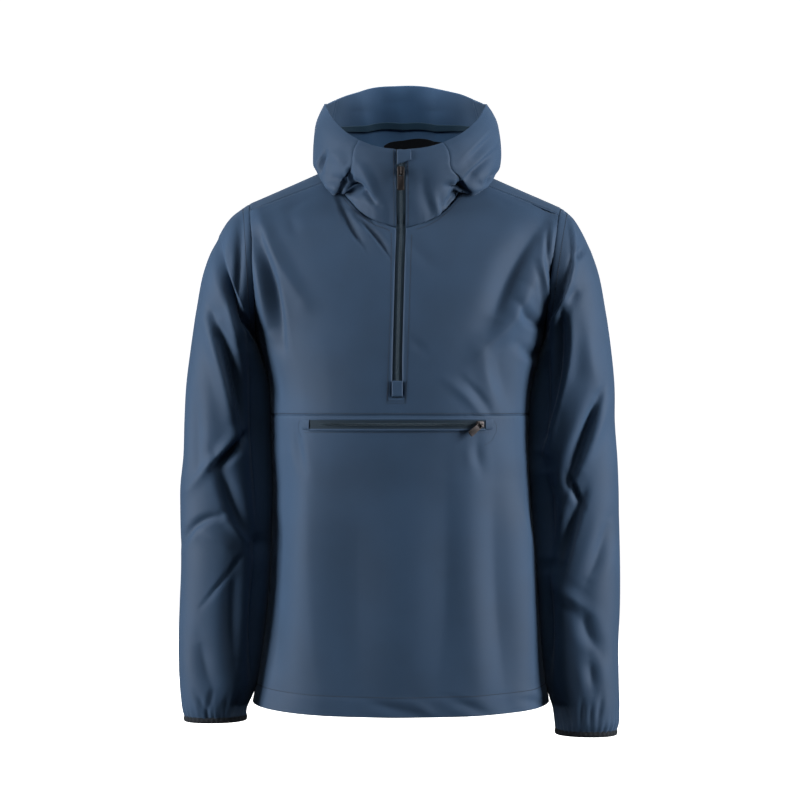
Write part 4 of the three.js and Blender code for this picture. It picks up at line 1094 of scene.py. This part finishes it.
# %% Body
FRONT_CREASES = crease_table(
    (261, 240, 282, 343, 9, 6.5, -3, -1.6, 0.6), (256, 262, 271, 334, 7, -3.5, 0, 1, 0.4),
    (258, 212, 303, 300, 10, -4, 4, 1, 0.4), (341, 203, 364, 246, 7, 3.6, 3, 2, 0.6),
    (357, 217, 389, 256, 5, 3.2, -2, 2, 0.6), (350, 208, 376, 226, 3, 1.6, -3, 1, 0.6),
    (283, 212, 306, 200, 10, 1, 0), (296, 236, 291, 218, 8, 1, 0),
    (543, 222, 494, 322, 20, 6.5, 5, -1.6, 0.15), (549, 236, 553, 282, 4.5, 2.6, 2, 1, 0.7),
    (541, 262, 549, 303, 4.5, -2.6, 0), (553, 224, 549, 262, 3, -1.6, 0),
    (531, 284, 483, 349, 15, -6, -5, 1, 0.4), (518, 304, 542, 326, 7, 4, 4, 1, 0.6),
    (520, 345, 541, 357, 7, 3, 2, 1, 0.6), (446, 380, 483, 417, 6, -1.2, -2, 1, 0.5),
    (464, 380, 491, 413, 6, 1.4, -2, -1.4, 0.4), (500, 350, 516, 414, 15, 2.6, 5, 1, 0.4),
    (484, 352, 500, 410, 9, -1.6, 4, 1, 0.4), (405, 232, 436, 268, 9, 1.4, 2),
    (413, 340, 424, 352, 5, 1.2, 0), (262, 345, 282, 405, 14, 2, 3, 1, 0.5),
)
LOWER_CREASES = crease_table(
    (287, 446, 276, 690, 17, 4, 6), (309, 440, 318, 690, 26, -3, 4),
    (446, 470, 436, 712, 34, 4.5, -6), (520, 470, 524, 690, 20, -3.5, -4),
    (496, 480, 508, 700, 22, 4, 5), (360, 500, 362, 712, 40, 3, 5),
    (478, 440, 482, 470, 7, 1.5, 2), (297, 430, 305, 470, 6, 2, 2),
    (372, 703, 412, 714, 6, 1.3, 0), (452, 700, 488, 714, 6, 1.5, 0),
    (410, 702, 436, 716, 6, -1, 0), (524, 700, 545, 704, 6, 1.6, 0),
    (529, 500, 534, 540, 6, 2.4, 0), (268, 500, 274, 545, 7, 2.6, 0),
)
BACK_CREASES = crease_table(
    (-178, -120, -118, -258, 19, 6, 8), (176, -116, 112, -250, 19, 6, -8),
    (-190, -190, -140, -236, 11, 4, 0), (190, -186, 138, -240, 11, 4, 0),
    (-76, -400, -90, -720, 32, 6, 6), (88, -380, 74, -720, 32, 6, -6),
    (6, -420, -4, -725, 38, 4.5, 8), (-150, -440, -158, -710, 20, 4, 4),
    (150, -430, 160, -705, 20, 4, -4), (-60, -110, 60, -118, 20, 2, 10),
)


def in_slit(row, column):
    return SLIT_COLUMN - 0.01 <= column <= SLIT_COLUMN + 1.01 and row >= SLIT_ROW - 0.01


HEM = dict(depth=27, sunk=0.55, width=1.8, proud=0.5, ease=1.2)


def hem_fold(points, _normals):
    """The double hem stands a little proud, and sinks under its stitches."""
    above = lengths_along(points, 0) - HEM["depth"]
    dent = HEM["sunk"] * np.exp(-(above / HEM["width"]) ** 2)
    return dent - HEM["proud"] / (1 + np.exp(above / HEM["ease"]))


make_cloth(
    "upper_front", UPPER_NET, creases=FRONT_CREASES, seams=("first", "last", "bottom", "top"),
    keep=((SLIT_ROW,), (SLIT_COLUMN, SLIT_COLUMN + 1)), missing=in_slit)
make_cloth(
    "lower_front", LOWER_NET, creases=LOWER_CREASES, seams=("first", "last", "top"),
    shape=hem_fold)
make_cloth(
    "back", BACK_NET, hidden=BACK_CREASES, seams=("first", "last", "top"), shape=hem_fold)

# %% [markdown]
# ## Sleeves
# A set-in sleeve folds over at its cap and breaks at the elbow. The folds on the front are placed
# where the light shows them. The outer side gets its own, since cloth that bends inwards at the
# front has spare length behind. The last few centimetres are gathered by the elastic.

# %% Sleeves
SLEEVE_CREASES = {
    "left": crease_table(
        (219, 243, 255, 334, 8.5, 10, 5, -4.5, 0.35), (241, 220, 238, 300, 4.5, 2.8, 0, 1, 0.8),
        (230, 232, 226, 262, 6, -1.5, 0), (206, 322, 232, 428, 9, -4.5, -3, 1, 0.3),
        (212, 318, 243, 434, 11, 10, -3, 3, 0.2), (252, 345, 262, 540, 11, 11, -2, 1, 0),
        (228, 300, 238, 350, 6, -3, 0, 1, 0.3), (196, 398, 198, 474, 8, 2.4, 0, 1, 0.5),
        (242, 438, 217, 463, 8, 10, 0, 3.5, 0.3), (236, 434, 190, 488, 7, -3.5, 0, 1, 0.2),
        (218, 461, 253, 546, 12, 7, 4, 1.6, 0.1), (183, 543, 220, 516, 5.5, 3.8, -7, 1, 0.4),
        (227, 520, 253, 546, 5.5, -3.2, 0, 1, 0.3), (198, 532, 232, 552, 11, -2.5, -3, 1, 0.3),
        (240, 557, 202, 605, 4.5, 1.7, 0, 2, 0.5), (258, 545, 252, 690, 8, 9, 0, 1, 0),
        (236, 566, 234, 660, 12, 3.5, 3, 1, 0.4), (200, 640, 214, 690, 12, 3.5, 3, 1, 0.5),
        (196, 694, 208, 716, 4, 1.6, 0), (212, 690, 208, 714, 3.5, 1.2, 0),
        (226, 700, 222, 716, 3.5, 1.3, 0), (240, 692, 234, 716, 4, 1.5, 0)),
    "right": crease_table(
        (573, 261, 584, 247, 4, 4.5, 0, 1, 0.5), (570, 222, 572, 268, 5, -3, -2, 3, 0.3),
        (572, 262, 547, 332, 8, -6, -4, 4.5, 0.2), (561, 312, 545, 432, 8, 10, -4, -1.5, 0.1),
        (566, 300, 580, 290, 7, 3, 0, 1, 0.4), (571, 318, 560, 400, 8, -3, -4, 2, 0.2),
        (600, 399, 571, 480, 10, 9.5, 0, -3.5, 0.3), (607, 404, 583, 468, 8, -3.5, 0, 1, 0.2),
        (570, 478, 582, 503, 6, 6, 0, -3.5, 0.3),
        (582, 500, 563, 563, 11, 7.5, 2, -2, 0.2), (545, 345, 538, 455, 9, 10, 0, 1, 0),
        (545, 470, 549, 560, 12, 10, 0, 1, 0), (547, 570, 549, 690, 7, 8, 0, 1, 0),
        (556, 388, 545, 452, 7, -3, 0, 1, 0.3), (589, 330, 597, 384, 12, -2.5, 3, 1, 0.4),
        (610, 520, 588, 580, 10, 4, -2, 1, 0.5), (584, 612, 600, 650, 10, 4, 4, 1, 0.5),
        (560, 590, 590, 612, 8, -2.5, 0), (590, 660, 594, 690, 8, 3, 0),
        (564, 706, 572, 728, 3.5, 1.3, 0), (582, 700, 582, 728, 3.5, 1.3, 0),
        (602, 698, 598, 722, 4, 1.6, 0), (592, 706, 590, 728, 3.5, 1.2, 0)),
}
SLEEVE_BACK_CREASES = {
    "left": crease_table(
        (-214, -200, -276, -236, 18, 7, 4), (-196, -420, -296, -440, 17, 8, -5),
        (-206, -480, -298, -476, 14, 6, 5), (-210, -560, -290, -600, 18, 5, 5),
        (-222, -660, -280, -690, 15, 4, 4)),
    "right": crease_table(
        (212, -204, 272, -232, 18, 7, -4), (192, -410, 290, -446, 17, 8, 5),
        (204, -490, 292, -480, 14, 6, -5), (206, -570, 286, -604, 18, 5, -5),
        (220, -670, 276, -700, 15, 4, -4)),
}
CUFF = dict(reach=17, gathers=34, height=1.0, drift=2, swell=0.35)
TOUCH = table(
    "level reach", (-225, 0), (-262, 4), (-305, 4.8), (-350, 3.6), (-400, 3.4), (-540, 4.2),
    (-620, 3.6), (-680, 5.6), (-715, 5.2), (-745, 0),
)
touch_at = through(TOUCH, "level", "reach")


def sleeve_shape(points, normals):
    """Uneven cuff pleats that die out above the elastic, and an inner side that meets the body."""
    inner = np.clip(-normals[..., 0] * np.sign(points[..., 0]), 0, 1) ** 2
    reach = np.vectorize(touch_at)(points[..., 2])
    up = lengths_along(points, 0)
    turn = lengths_along(points, 1)
    turn = turn / turn[:, -1:]
    drift = CUFF["drift"] * np.sin(6 * math.pi * turn)
    wave = np.sin(2 * math.pi * CUFF["gathers"] * turn + drift)
    wave = wave * (1 - CUFF["swell"] + CUFF["swell"] * np.sin(10 * math.pi * turn))
    return CUFF["height"] * wave * np.exp(-(up / CUFF["reach"]) ** 2) - reach * inner


for side in SIDES:
    make_cloth(
        f"sleeve_{side}", sleeve_net(side), creases=SLEEVE_CREASES[side],
        hidden=SLEEVE_BACK_CREASES[side], seams=("top",), closed=True, shape=sleeve_shape)

# %% [markdown]
# ## Hood and collar
# The hood is cut in three: two sides and a centre panel that runs over the head. Down here it
# lies open, so the centre panel hangs as a bag behind the neck, and the front of each side is in
# one with the collar. Soft folds run to the neck seam, where the side panels are gathered in.

# %% Hood
HOOD_CREASES = crease_table(
    (348, 184, 361, 192, 6.5, 14, 0, 1, 0.4), (361, 191, 377, 206, 5.5, 4.5, 0, 2.5, 0.5),
    (356, 162, 375, 200, 6, -2.6, -3, 1, 0.4), (350, 172, 350, 184, 3, 5, 0, 1, 0.5),
    (325, 154, 321, 171, 3.2, 5.5, 2, 2, 0.8), (314, 160, 319, 172, 6, -2, 0, 1, 0.4),
    (317, 183, 344, 191, 5, -2.6, 0, 1, 0.3), (330, 176, 346, 185, 6, 2.5, 0, 1, 0.5),
    (330, 150, 345, 166, 8, -1.6, 0), (497, 131, 468, 160, 6, 2.4, 0, 1.6, 0.7),
    (494, 152, 463, 181, 5.5, 4.6, 0, 2, 0.7), (459, 182, 463, 190, 3, 4.5, 0, 1, 0.8),
    (446, 207, 455, 194, 4.5, 4, 0, 1, 0.7), (452, 188, 465, 193, 6, 9, 0, 1, 0.3),
    (434, 196, 439, 217, 5, -2.2, 0, 1, 0.5), (440, 200, 444, 214, 3, 2, 0, 1, 0.5),
    (496, 174, 489, 182, 4, 6.5, 0, 1, 0.8), (470, 190, 488, 188, 4, -1.6, 0, 1, 0.3),
    (424, 176, 432, 214, 9, 1.6, 3, 1, 0.5), (386, 196, 391, 226, 8, 1.2, 0),
)
HOOD_BACK_CREASES = crease_table(
    (-60, 96, -44, -40, 18, 6, 6), (52, 98, 66, -36, 18, 6, -6), (-8, 110, 4, 0, 22, 4, 5),
    (-90, 40, 90, 30, 20, 4, -16), (-96, -10, -40, -60, 14, 5, 4), (100, -6, 42, -60, 14, 5, -4),
)
for name, (start, end) in HOOD_PIECES.items():
    panel = [row[start:end + 1] for row in HOOD_NET]
    make_cloth(name, panel, creases=HOOD_CREASES, hidden=HOOD_BACK_CREASES,
               seams=("first", "last", "bottom"), size=2.6)

# %% [markdown]
# ## Cuff bindings
# The wrist ends in a narrow black elastic that is folded over the raw edge. It is a closed band,
# so it is made from three copies of the sleeve's last ring, at its foot, its middle and its top.

# %% Bindings
BINDING = dict(proud=1.3, thickness=3.6, overlap=1.8, bulge=0.9, rib=0.25, ribSpacing=6.5)


def band_bulge(points, _normals):
    """Rounds the band across its height, with the soft ribs of gathered elastic."""
    up = lengths_along(points, 0)
    middle = up / np.maximum(up[-1:], 1e-6) * 2 - 1
    ribs = np.sin(2 * math.pi * lengths_along(points, 1) / BINDING["ribSpacing"])
    return BINDING["bulge"] * middle ** 2 - 0.3 + BINDING["rib"] * ribs


for side in SIDES:
    end = sleeve_ring(side, SLEEVE[side][-1])
    levels = (SEAM_GAP + BINDING_HEIGHT, BINDING_HEIGHT / 2 - 0.5, -BINDING["overlap"])
    net = [[(x, y, z - drop) for x, y, z in end] for drop in levels]
    make_cloth(f"cuff_binding_{side}", net, ELASTIC, closed=True, size=0.8,
               thickness=BINDING["thickness"], out=BINDING["proud"],
               shape=band_bulge,
               cut=(0.27, 0.0105), ease=1.6)

# %% [markdown]
# ## Inside the hood
# Looking into the neck shows a tape band below the rim and a dark half-moon facing under it. Both
# lie on the inside of the centre panel, so they are cut from the hood's own surface, moved in.

# %% Band and facing
INSIDE = -2.6
BAND = dict(ends=(6.45, 6.7), middle=(7.78, 7.98), thickness=0.9)
MOON = dict(row=7, low=0.12, high=0.5, fromX=65, toX=-27, columns=12, rows=5, thickness=0.9)


def hood_row(at):
    """A level row of the hood's smooth surface, at a row number with a fraction."""
    net = np.array(HOOD_NET, float)
    return np.einsum("i,ijk->jk", smooth_weights(net, [at])[0], net)


def facing_net():
    start, end = SIDE_CELLS, HOOD_COLUMNS - SIDE_CELLS
    net = []
    for j in range(MOON["rows"] + 1):
        line = []
        for i in range(MOON["columns"] + 1):
            u = i / MOON["columns"]
            arch = math.sqrt(1 - (1.8 * u - 0.9) ** 2)
            high = lerp(MOON["low"], MOON["high"], arch)
            row = hood_row(MOON["row"] + lerp(MOON["low"], high, j / MOON["rows"]))[start:end + 1]
            x = lerp(MOON["fromX"], MOON["toX"], u)
            line.append([float(np.interp(-x, -row[:, 0], row[:, k])) for k in range(3)])
        net.append(line)
    return net


def band_net():
    """The band arches up behind the head: it lies lower at its ends than in the middle."""
    net = []
    for share in (0, 0.5, 1):
        line = []
        for i in range(SIDE_CELLS - 2, HOOD_COLUMNS - SIDE_CELLS + 3):
            arch = 1 - ((2 * i - HOOD_COLUMNS) / (HOOD_COLUMNS - 2 * SIDE_CELLS + 4)) ** 2
            low, high = (lerp(BAND["ends"][edge], BAND["middle"][edge], arch) for edge in (0, 1))
            line.append(hood_row(lerp(low, high, share))[i])
        net.append(line)
    return net


make_cloth("hood_tape_band", band_net(), TAPE_BAND, creases=HOOD_CREASES, hidden=HOOD_BACK_CREASES,
           size=2.4, thickness=BAND["thickness"], out=INSIDE)
make_cloth("neck_facing", facing_net(), FACING_KNIT, creases=HOOD_CREASES,
           hidden=HOOD_BACK_CREASES, size=2.4, thickness=MOON["thickness"], out=INSIDE)

# %% [markdown]
# ## Zips
# Both zips are coil zips: a nylon spiral sewn on a tape. The main one shows between the edges of
# the slit. Its tape is a panel like the others, and the coil is two rows of small beads across
# it, one bead for each half turn of the spiral, since the spiral's hidden half never shows.

# %% Main zip
TAPE = dict(thickness=1.2, dip=0.8, ridge=0.7, ridgeWidth=0.16,
            shares=(0.02, 0.25, 0.5, 0.75, 0.98))
SPIRAL = dict(pitch=1.5, halfWidth=1.9, lean=0.22, overlap=1.25, along=0.95, out=1.1)


def slit_net(shares):
    chest, hood = UPPER_NET[SLIT_ROW:], HOOD_NET[1:]
    left = [row[SLIT_COLUMN] for row in chest] + [row[-1] for row in hood]
    right = [row[SLIT_COLUMN + 1] for row in chest] + [row[0] for row in hood]
    return [[[lerp(a, b, t) for a, b in zip(p, q)] for t in shares] for p, q in zip(left, right)]


def tape_ridge(points, _normals):
    """The tape dips at its edges, under the cloth, and rises to the coil."""
    across = lengths_along(points, 1)
    across = across / across[:, -1:]
    return -TAPE["ridge"] * np.exp(-((across - 0.5) / TAPE["ridgeWidth"]) ** 2)


make_cloth("main_zip", slit_net(TAPE["shares"]), ZIP_TAPE, creases=FRONT_CREASES,
           size=1.6, thickness=TAPE["thickness"], out=-TAPE["dip"],
           shape=tape_ridge)


def walk(points, spacing):
    """Points at even spacing along a line, in mm, with its direction at each."""
    points = np.array(points, float)
    total = np.concatenate([[0], np.cumsum(np.linalg.norm(np.diff(points, axis=0), axis=1))])
    stops = np.linspace(0, total[-1], max(round(total[-1] / spacing), 1) + 1)
    places = np.stack([np.interp(stops, total, points[:, k]) for k in range(3)], axis=1)
    ways = np.gradient(places, axis=0)
    return places, ways / np.linalg.norm(ways, axis=1, keepdims=True)


def add_beads(mesh, places, ways, outs, size):
    """Rounded beads of size (along, across, out), one at each place."""
    for place, way, out in zip(places, ways, outs):
        way, out = Vector(way), Vector(out)
        across = out.cross(way).normalized()
        out = way.cross(across)
        turn = Matrix((way, across, out)).transposed().to_4x4()
        scale = Matrix.Diagonal((*(s * MM / 2 for s in size), 1))
        where = Matrix.Translation(Vector(place) * MM)
        bmesh.ops.create_icosphere(mesh, subdivisions=1, radius=1,
                                   matrix=where @ turn @ scale)


def coil(name, line, outs_at, height):
    """Two rows of beads, each bead half a turn of the zip's spiral, set a little askew."""
    mesh = bmesh.new()
    places, ways = walk(line, SPIRAL["pitch"])
    outs = outs_at(places)
    across = np.cross(outs, ways)
    lean = across + ways * SPIRAL["lean"]
    size = (SPIRAL["halfWidth"] * SPIRAL["overlap"], SPIRAL["along"], SPIRAL["out"])
    for side in (-1, 1):
        shift = across * side * SPIRAL["halfWidth"] / 2 + ways * side * SPIRAL["pitch"] / 4
        add_beads(mesh, places + shift + outs * height, lean, outs, size)
    add_piece(name, mesh, COIL)
    print(name, "has", 2 * len(places), "beads")


def straight_out(places):
    return np.tile((0.0, -1.0, 0.0), (len(places), 1))


zip_points = surfaces["main_zip"]["points"]
zip_line = zip_points[:, zip_points.shape[1] // 2]
COIL_ENDS = (3, 11)
coil("main_coil", zip_line[COIL_ENDS[0]:-COIL_ENDS[1]], straight_out, height=0.2)

# %% [markdown]
# The pocket's zip runs across the chest just under the seam. A flat strip of tape lies in a window
# of the panel, and the cloth folds over its long edges as two narrow lips.

# %% Pocket zip
POCKET = dict(left=-122, right=110, top=-350, bottom=-363.5, patch=9.5)
POCKET_CURVE = dict(reach=135, power=1.6, lean=0.55)
LIP = dict(height=3.4, proud=1.7, below=1.4, under=2, beyond=1)
PATCH = dict(proud=2.5, thickness=1.5, leastCut=11)
PILLOW = 0.9


def front_surface(x, level):
    side = "left" if x < 0 else "right"
    return torso_point(side, "front", torso_angle(side, "front", x, level), level)


def strip_net(start, end, bottom, top, rows=3, columns=24):
    return [[front_surface(lerp(start, end, i / columns), lerp(bottom, top, j / rows))
             for i in range(columns + 1)] for j in range(rows + 1)]


def pillow(points, _normals):
    """Rounds a narrow strip across its height."""
    up = lengths_along(points, 0)
    share = up / up[-1:] * 2 - 1
    return PILLOW * np.abs(share) ** 3


def pocket_outs(places):
    """The way out of the chest, which turns to the side along the pocket's zip."""
    x = places[:, 0]
    bend = (np.abs(x) / POCKET_CURVE["reach"]) ** POCKET_CURVE["power"] * POCKET_CURVE["lean"]
    outs = np.stack([np.sign(x) * bend, -np.ones(len(x)), np.zeros(len(x))], axis=1)
    return outs / np.linalg.norm(outs, axis=1, keepdims=True)


left, right, bottom, top = (POCKET[edge] for edge in ("left", "right", "bottom", "top"))
make_cloth("pocket_zip", strip_net(left, right, bottom, top), ZIP_TAPE, creases=LOWER_CREASES,
           size=2.0, thickness=1.0, out=1.25)
pocket_line = [front_surface(x, (top + bottom) / 2) for x in np.linspace(left + 2, right - 1, 90)]
coil("pocket_coil", pocket_line, pocket_outs, height=1.75)


def flat_patch(name, start, end, low, high, out, node=True):
    """A small piece of cloth laid flat on the lower front, with its edges rounded under."""
    cut = [max(size, PATCH["leastCut"]) * MM for size in (end - start, high - low)]
    make_cloth(name, strip_net(start, end, low, high), size=1.2, thickness=PATCH["thickness"],
               out=out, shape=pillow, node=node, creases=LOWER_CREASES, cut=cut)


flat_patch("pocket_end_patch_left", left - SEAM_GAP - POCKET["patch"], left - SEAM_GAP,
           bottom, top, PATCH["proud"])
flat_patch("pocket_end_patch_right", right + SEAM_GAP, right + SEAM_GAP + POCKET["patch"],
           bottom, top, PATCH["proud"])
for name, level in (("upper", top - LIP["below"]), ("lower", bottom - LIP["under"])):
    flat_patch(f"pocket_lip_{name}", left - LIP["beyond"], right + LIP["beyond"], level,
               level + LIP["height"], LIP["proud"], node=False)

# %% [markdown]
# ## Small patches on the main zip
# A flap of cloth wraps over the top of the zip as a garage for the slider, and a square patch ends
# it below. Both are doubled cloth, so they stand a little proud and have rounded edges.

# %% Garage and end patch
GARAGE = dict(top=8.5, bottomLeft=-11.5, bottomRight=-5, fromX=-5, toX=14, thickness=1.2)
END_PATCH = dict(top=-299, bottom=-320, halfWidth=7.2, thickness=1.0)
PATCH_OUT = 1.45
ROUNDED = dict(depth=0.8, reach=0.7)


def zip_middle(level):
    line = np.array(zip_line)
    return [float(np.interp(level, line[:, 2], line[:, k])) for k in range(3)]


def patch_net(row_of, rows, columns=4):
    net = []
    for j in range(rows + 1):
        left, right, start, end = row_of(j / rows)
        line = []
        for i in range(columns + 1):
            level = lerp(left, right, i / columns)
            x, y, _ = zip_middle(level)
            line.append((x + lerp(start, end, i / columns), y, level))
        net.append(line)
    return net


def rounded_edges(points, _normals):
    along, up = lengths_along(points, 1), lengths_along(points, 0)
    near = np.minimum(np.minimum(along, along[:, -1:] - along), np.minimum(up, up[-1:] - up))
    return ROUNDED["depth"] * np.exp(-(near / ROUNDED["reach"]) ** 2)


garage_rows = patch_net(lambda t: (lerp(GARAGE["bottomLeft"], GARAGE["top"], t),
                                   lerp(GARAGE["bottomRight"], GARAGE["top"], t),
                                   GARAGE["fromX"], GARAGE["toX"]), 4)
make_cloth("zip_garage", garage_rows, size=1.0, thickness=GARAGE["thickness"],
           out=PATCH_OUT + GARAGE["thickness"], shape=rounded_edges)
end_rows = patch_net(lambda t: (lerp(END_PATCH["bottom"], END_PATCH["top"], t),) * 2
                     + (-END_PATCH["halfWidth"], END_PATCH["halfWidth"]), 4)
make_cloth("zip_end_patch", end_rows, size=1.0, thickness=END_PATCH["thickness"],
           out=PATCH_OUT + END_PATCH["thickness"], shape=rounded_edges)

# %% [markdown]
# ## Stitches
# Topstitching is what makes a seam read as sewn. Each stitch is a short bead of thread, pressed a
# little into the cloth. A row follows a panel's edge at a set distance, or a line drawn on it.

# %% Stitch rows
STITCH = dict(length=2.4, spacing=3.0, width=1.1, height=0.6, lift=0.12)


def line_beside(name, edge, offset, start=0.0, end=1.0):
    """The line at a distance from one edge of a panel, on its surface, with the way out."""
    points, normals = surfaces[name]["points"], surfaces[name]["normals"]
    if edge in ("bottom", "top"):
        points, normals = points.swapaxes(0, 1), normals.swapaxes(0, 1)
    if edge in ("top", "last"):
        points, normals = points[:, ::-1], normals[:, ::-1]
    away = lengths_along(points, 1)
    line, outs = [], []
    first, last = round(start * (len(points) - 1)), round(end * (len(points) - 1))
    for row in range(first, last + 1):
        for values, kept in ((points, line), (normals, outs)):
            kept.append([np.interp(offset, away[row], values[row][:, k]) for k in range(3)])
    return np.array(line), np.array(outs)


def stitch_row(mesh, line, outs):
    """Stitches laid along a line."""
    places, ways = walk(line, STITCH["spacing"])
    total = np.concatenate([[0], np.cumsum(np.linalg.norm(np.diff(line, axis=0), axis=1))])
    stops = np.linspace(0, total[-1], len(places))
    up = np.stack([np.interp(stops, total, outs[:, k]) for k in range(3)], axis=1)
    up /= np.linalg.norm(up, axis=1, keepdims=True)
    size = (STITCH["length"], STITCH["width"], STITCH["height"])
    add_beads(mesh, places[1:-1] + up[1:-1] * STITCH["lift"], ways[1:-1], up[1:-1], size)
    return len(places)


def sewn(name, rows):
    mesh = bmesh.new()
    count = sum(stitch_row(mesh, line, outs) for line, outs in rows)
    add_piece(name, mesh, PAINTED_SHADE_THREAD)
    print(name, "has", count, "stitches")


def front_tree(name):
    points = surfaces[name]["points"]
    along = surfaces[name]["along"]
    mesh = cloth_mesh(points, along, along)
    tree = BVHTree.FromBMesh(mesh)
    mesh.free()
    return tree


trees = {name: front_tree(name) for name in ("upper_front", "lower_front")}


def picture_line(name, *pixels, step=1.5):
    """A line drawn in the picture, dropped on the front of a panel."""
    eye = Vector(EYE)
    line, outs = [], []
    for (px, py), (qx, qy) in zip(pixels, pixels[1:]):
        count = max(int(math.hypot(qx - px, qy - py) / step), 1)
        for i in range(count):
            x, y = lerp(px, qx, i / count), lerp(py, qy, i / count)
            sideways, upwards = (x - PICTURE_MIDDLE) * PIXEL, (PICTURE_MIDDLE - y) * PIXEL
            way = Vector((sideways, DISTANCE / MM, upwards))
            hit, out, _, _ = trees[name].ray_cast(eye, way.normalized())
            if hit:
                line.append([c / MM for c in hit])
                outs.append(list(out))
    return np.array(line), np.array(outs)


print("a stitch every", STITCH["spacing"], "mm")

# %% [markdown]
# The rows along an edge are given as panel, edge, distance from it in mm, and the shares of the
# edge where the row begins and ends. The other rows are drawn in the picture, as pixels.

# %% Where the stitches run
EDGE_STITCHES = {
    "neck": [("upper_front", "top", 7.5, 0.54, 0.72), ("upper_front", "top", 7.5, 0.28, 0.46)],
    "armhole": [(f"sleeve_{side}", "top", 10.5) for side in SIDES],
    "hem": [(name, "bottom", HEM["depth"], 0.01, 0.99) for name in ("lower_front", "back")],
    "chest_seam": [("upper_front", "bottom", 2.6, 0.01, 0.99)],
    "shoulder": [("back", "top", 3.2, 0.0, 0.26), ("back", "top", 3.2, 0.74, 1.0)],
    "collar": [("collar_front_left", "last", 3.2), ("collar_front_right", "first", 3.2)],
    "cuff": [(f"sleeve_{side}", "bottom", 2.4) for side in SIDES],
}
PICTURE_STITCHES = {
    "zip_frame": ("upper_front", [
        ((391.3, 232), (390.8, 300), (386.8, 403.4), (406, 403.4), (411.8, 232)),
        ((388.6, 380), (387.6, 401), (405, 401), (405.6, 380))]),
    "pocket": ("lower_front", [
        ((493.5, 419.6), (496.6, 426), (496.2, 432), (491.6, 441), (482, 447)),
        ((300.5, 419.6), (298.2, 425), (299, 432), (303, 439)),
        ((303, 432.6), (492, 432.8))]),
    "side_slit": ("lower_front", [
        ((527.4, 420), (526.8, 444), (529.6, 470), (531, 484), (530, 498)),
        ((524.5, 493), (524.2, 497.5)), ((525.8, 493), (525.5, 497.5)),
        ((527.1, 493), (526.8, 497.5))]),
}
for name, rows in EDGE_STITCHES.items():
    sewn(f"{name}_stitches", [line_beside(*row) for row in rows])
for name, (panel, rows) in PICTURE_STITCHES.items():
    sewn(f"{name}_stitches", [picture_line(panel, *row) for row in rows])

# %% [markdown]
# ## Sliders and pull tabs
# These are the only hard parts, die-cast and gun-metal plated. The CAD has their exact shapes, so
# each is a copy of its CAD mesh: merged, its flat faces joined up, and every sharp edge rounded
# with a small bevel, because cast metal never has a razor edge and the rounding catches the light.

# %% Sliders and tabs
ROUNDING = 0.35
FLAT_ANGLE = math.radians(3)
SHARP_ANGLE = math.radians(25)
METAL_WELD = 0.00002


def hard_copy(node, body):
    mesh = bmesh.new()
    mesh.from_mesh(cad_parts[node].data)
    bmesh.ops.remove_doubles(mesh, verts=mesh.verts, dist=METAL_WELD)
    bmesh.ops.dissolve_limit(mesh, angle_limit=FLAT_ANGLE, verts=mesh.verts, edges=mesh.edges)
    sharp = [e for e in mesh.edges if len(e.link_faces) == 2 and e.calc_face_angle() > SHARP_ANGLE]
    bmesh.ops.bevel(mesh, geom=sharp, offset=ROUNDING * MM, affect="EDGES", segments=2,
                    profile=0.5, material=-1, clamp_overlap=True)
    piece = add_piece(f"{node}_metal", mesh, METAL, node, body)
    print(node, "has", len(piece.data.polygons), "faces")


HARD_PARTS = {"main_slider": "root", "main_tab": "main_pull",
              "pocket_slider": "root", "pocket_tab": "pocket_pull"}
for node, body in HARD_PARTS.items():
    hard_copy(node, body)
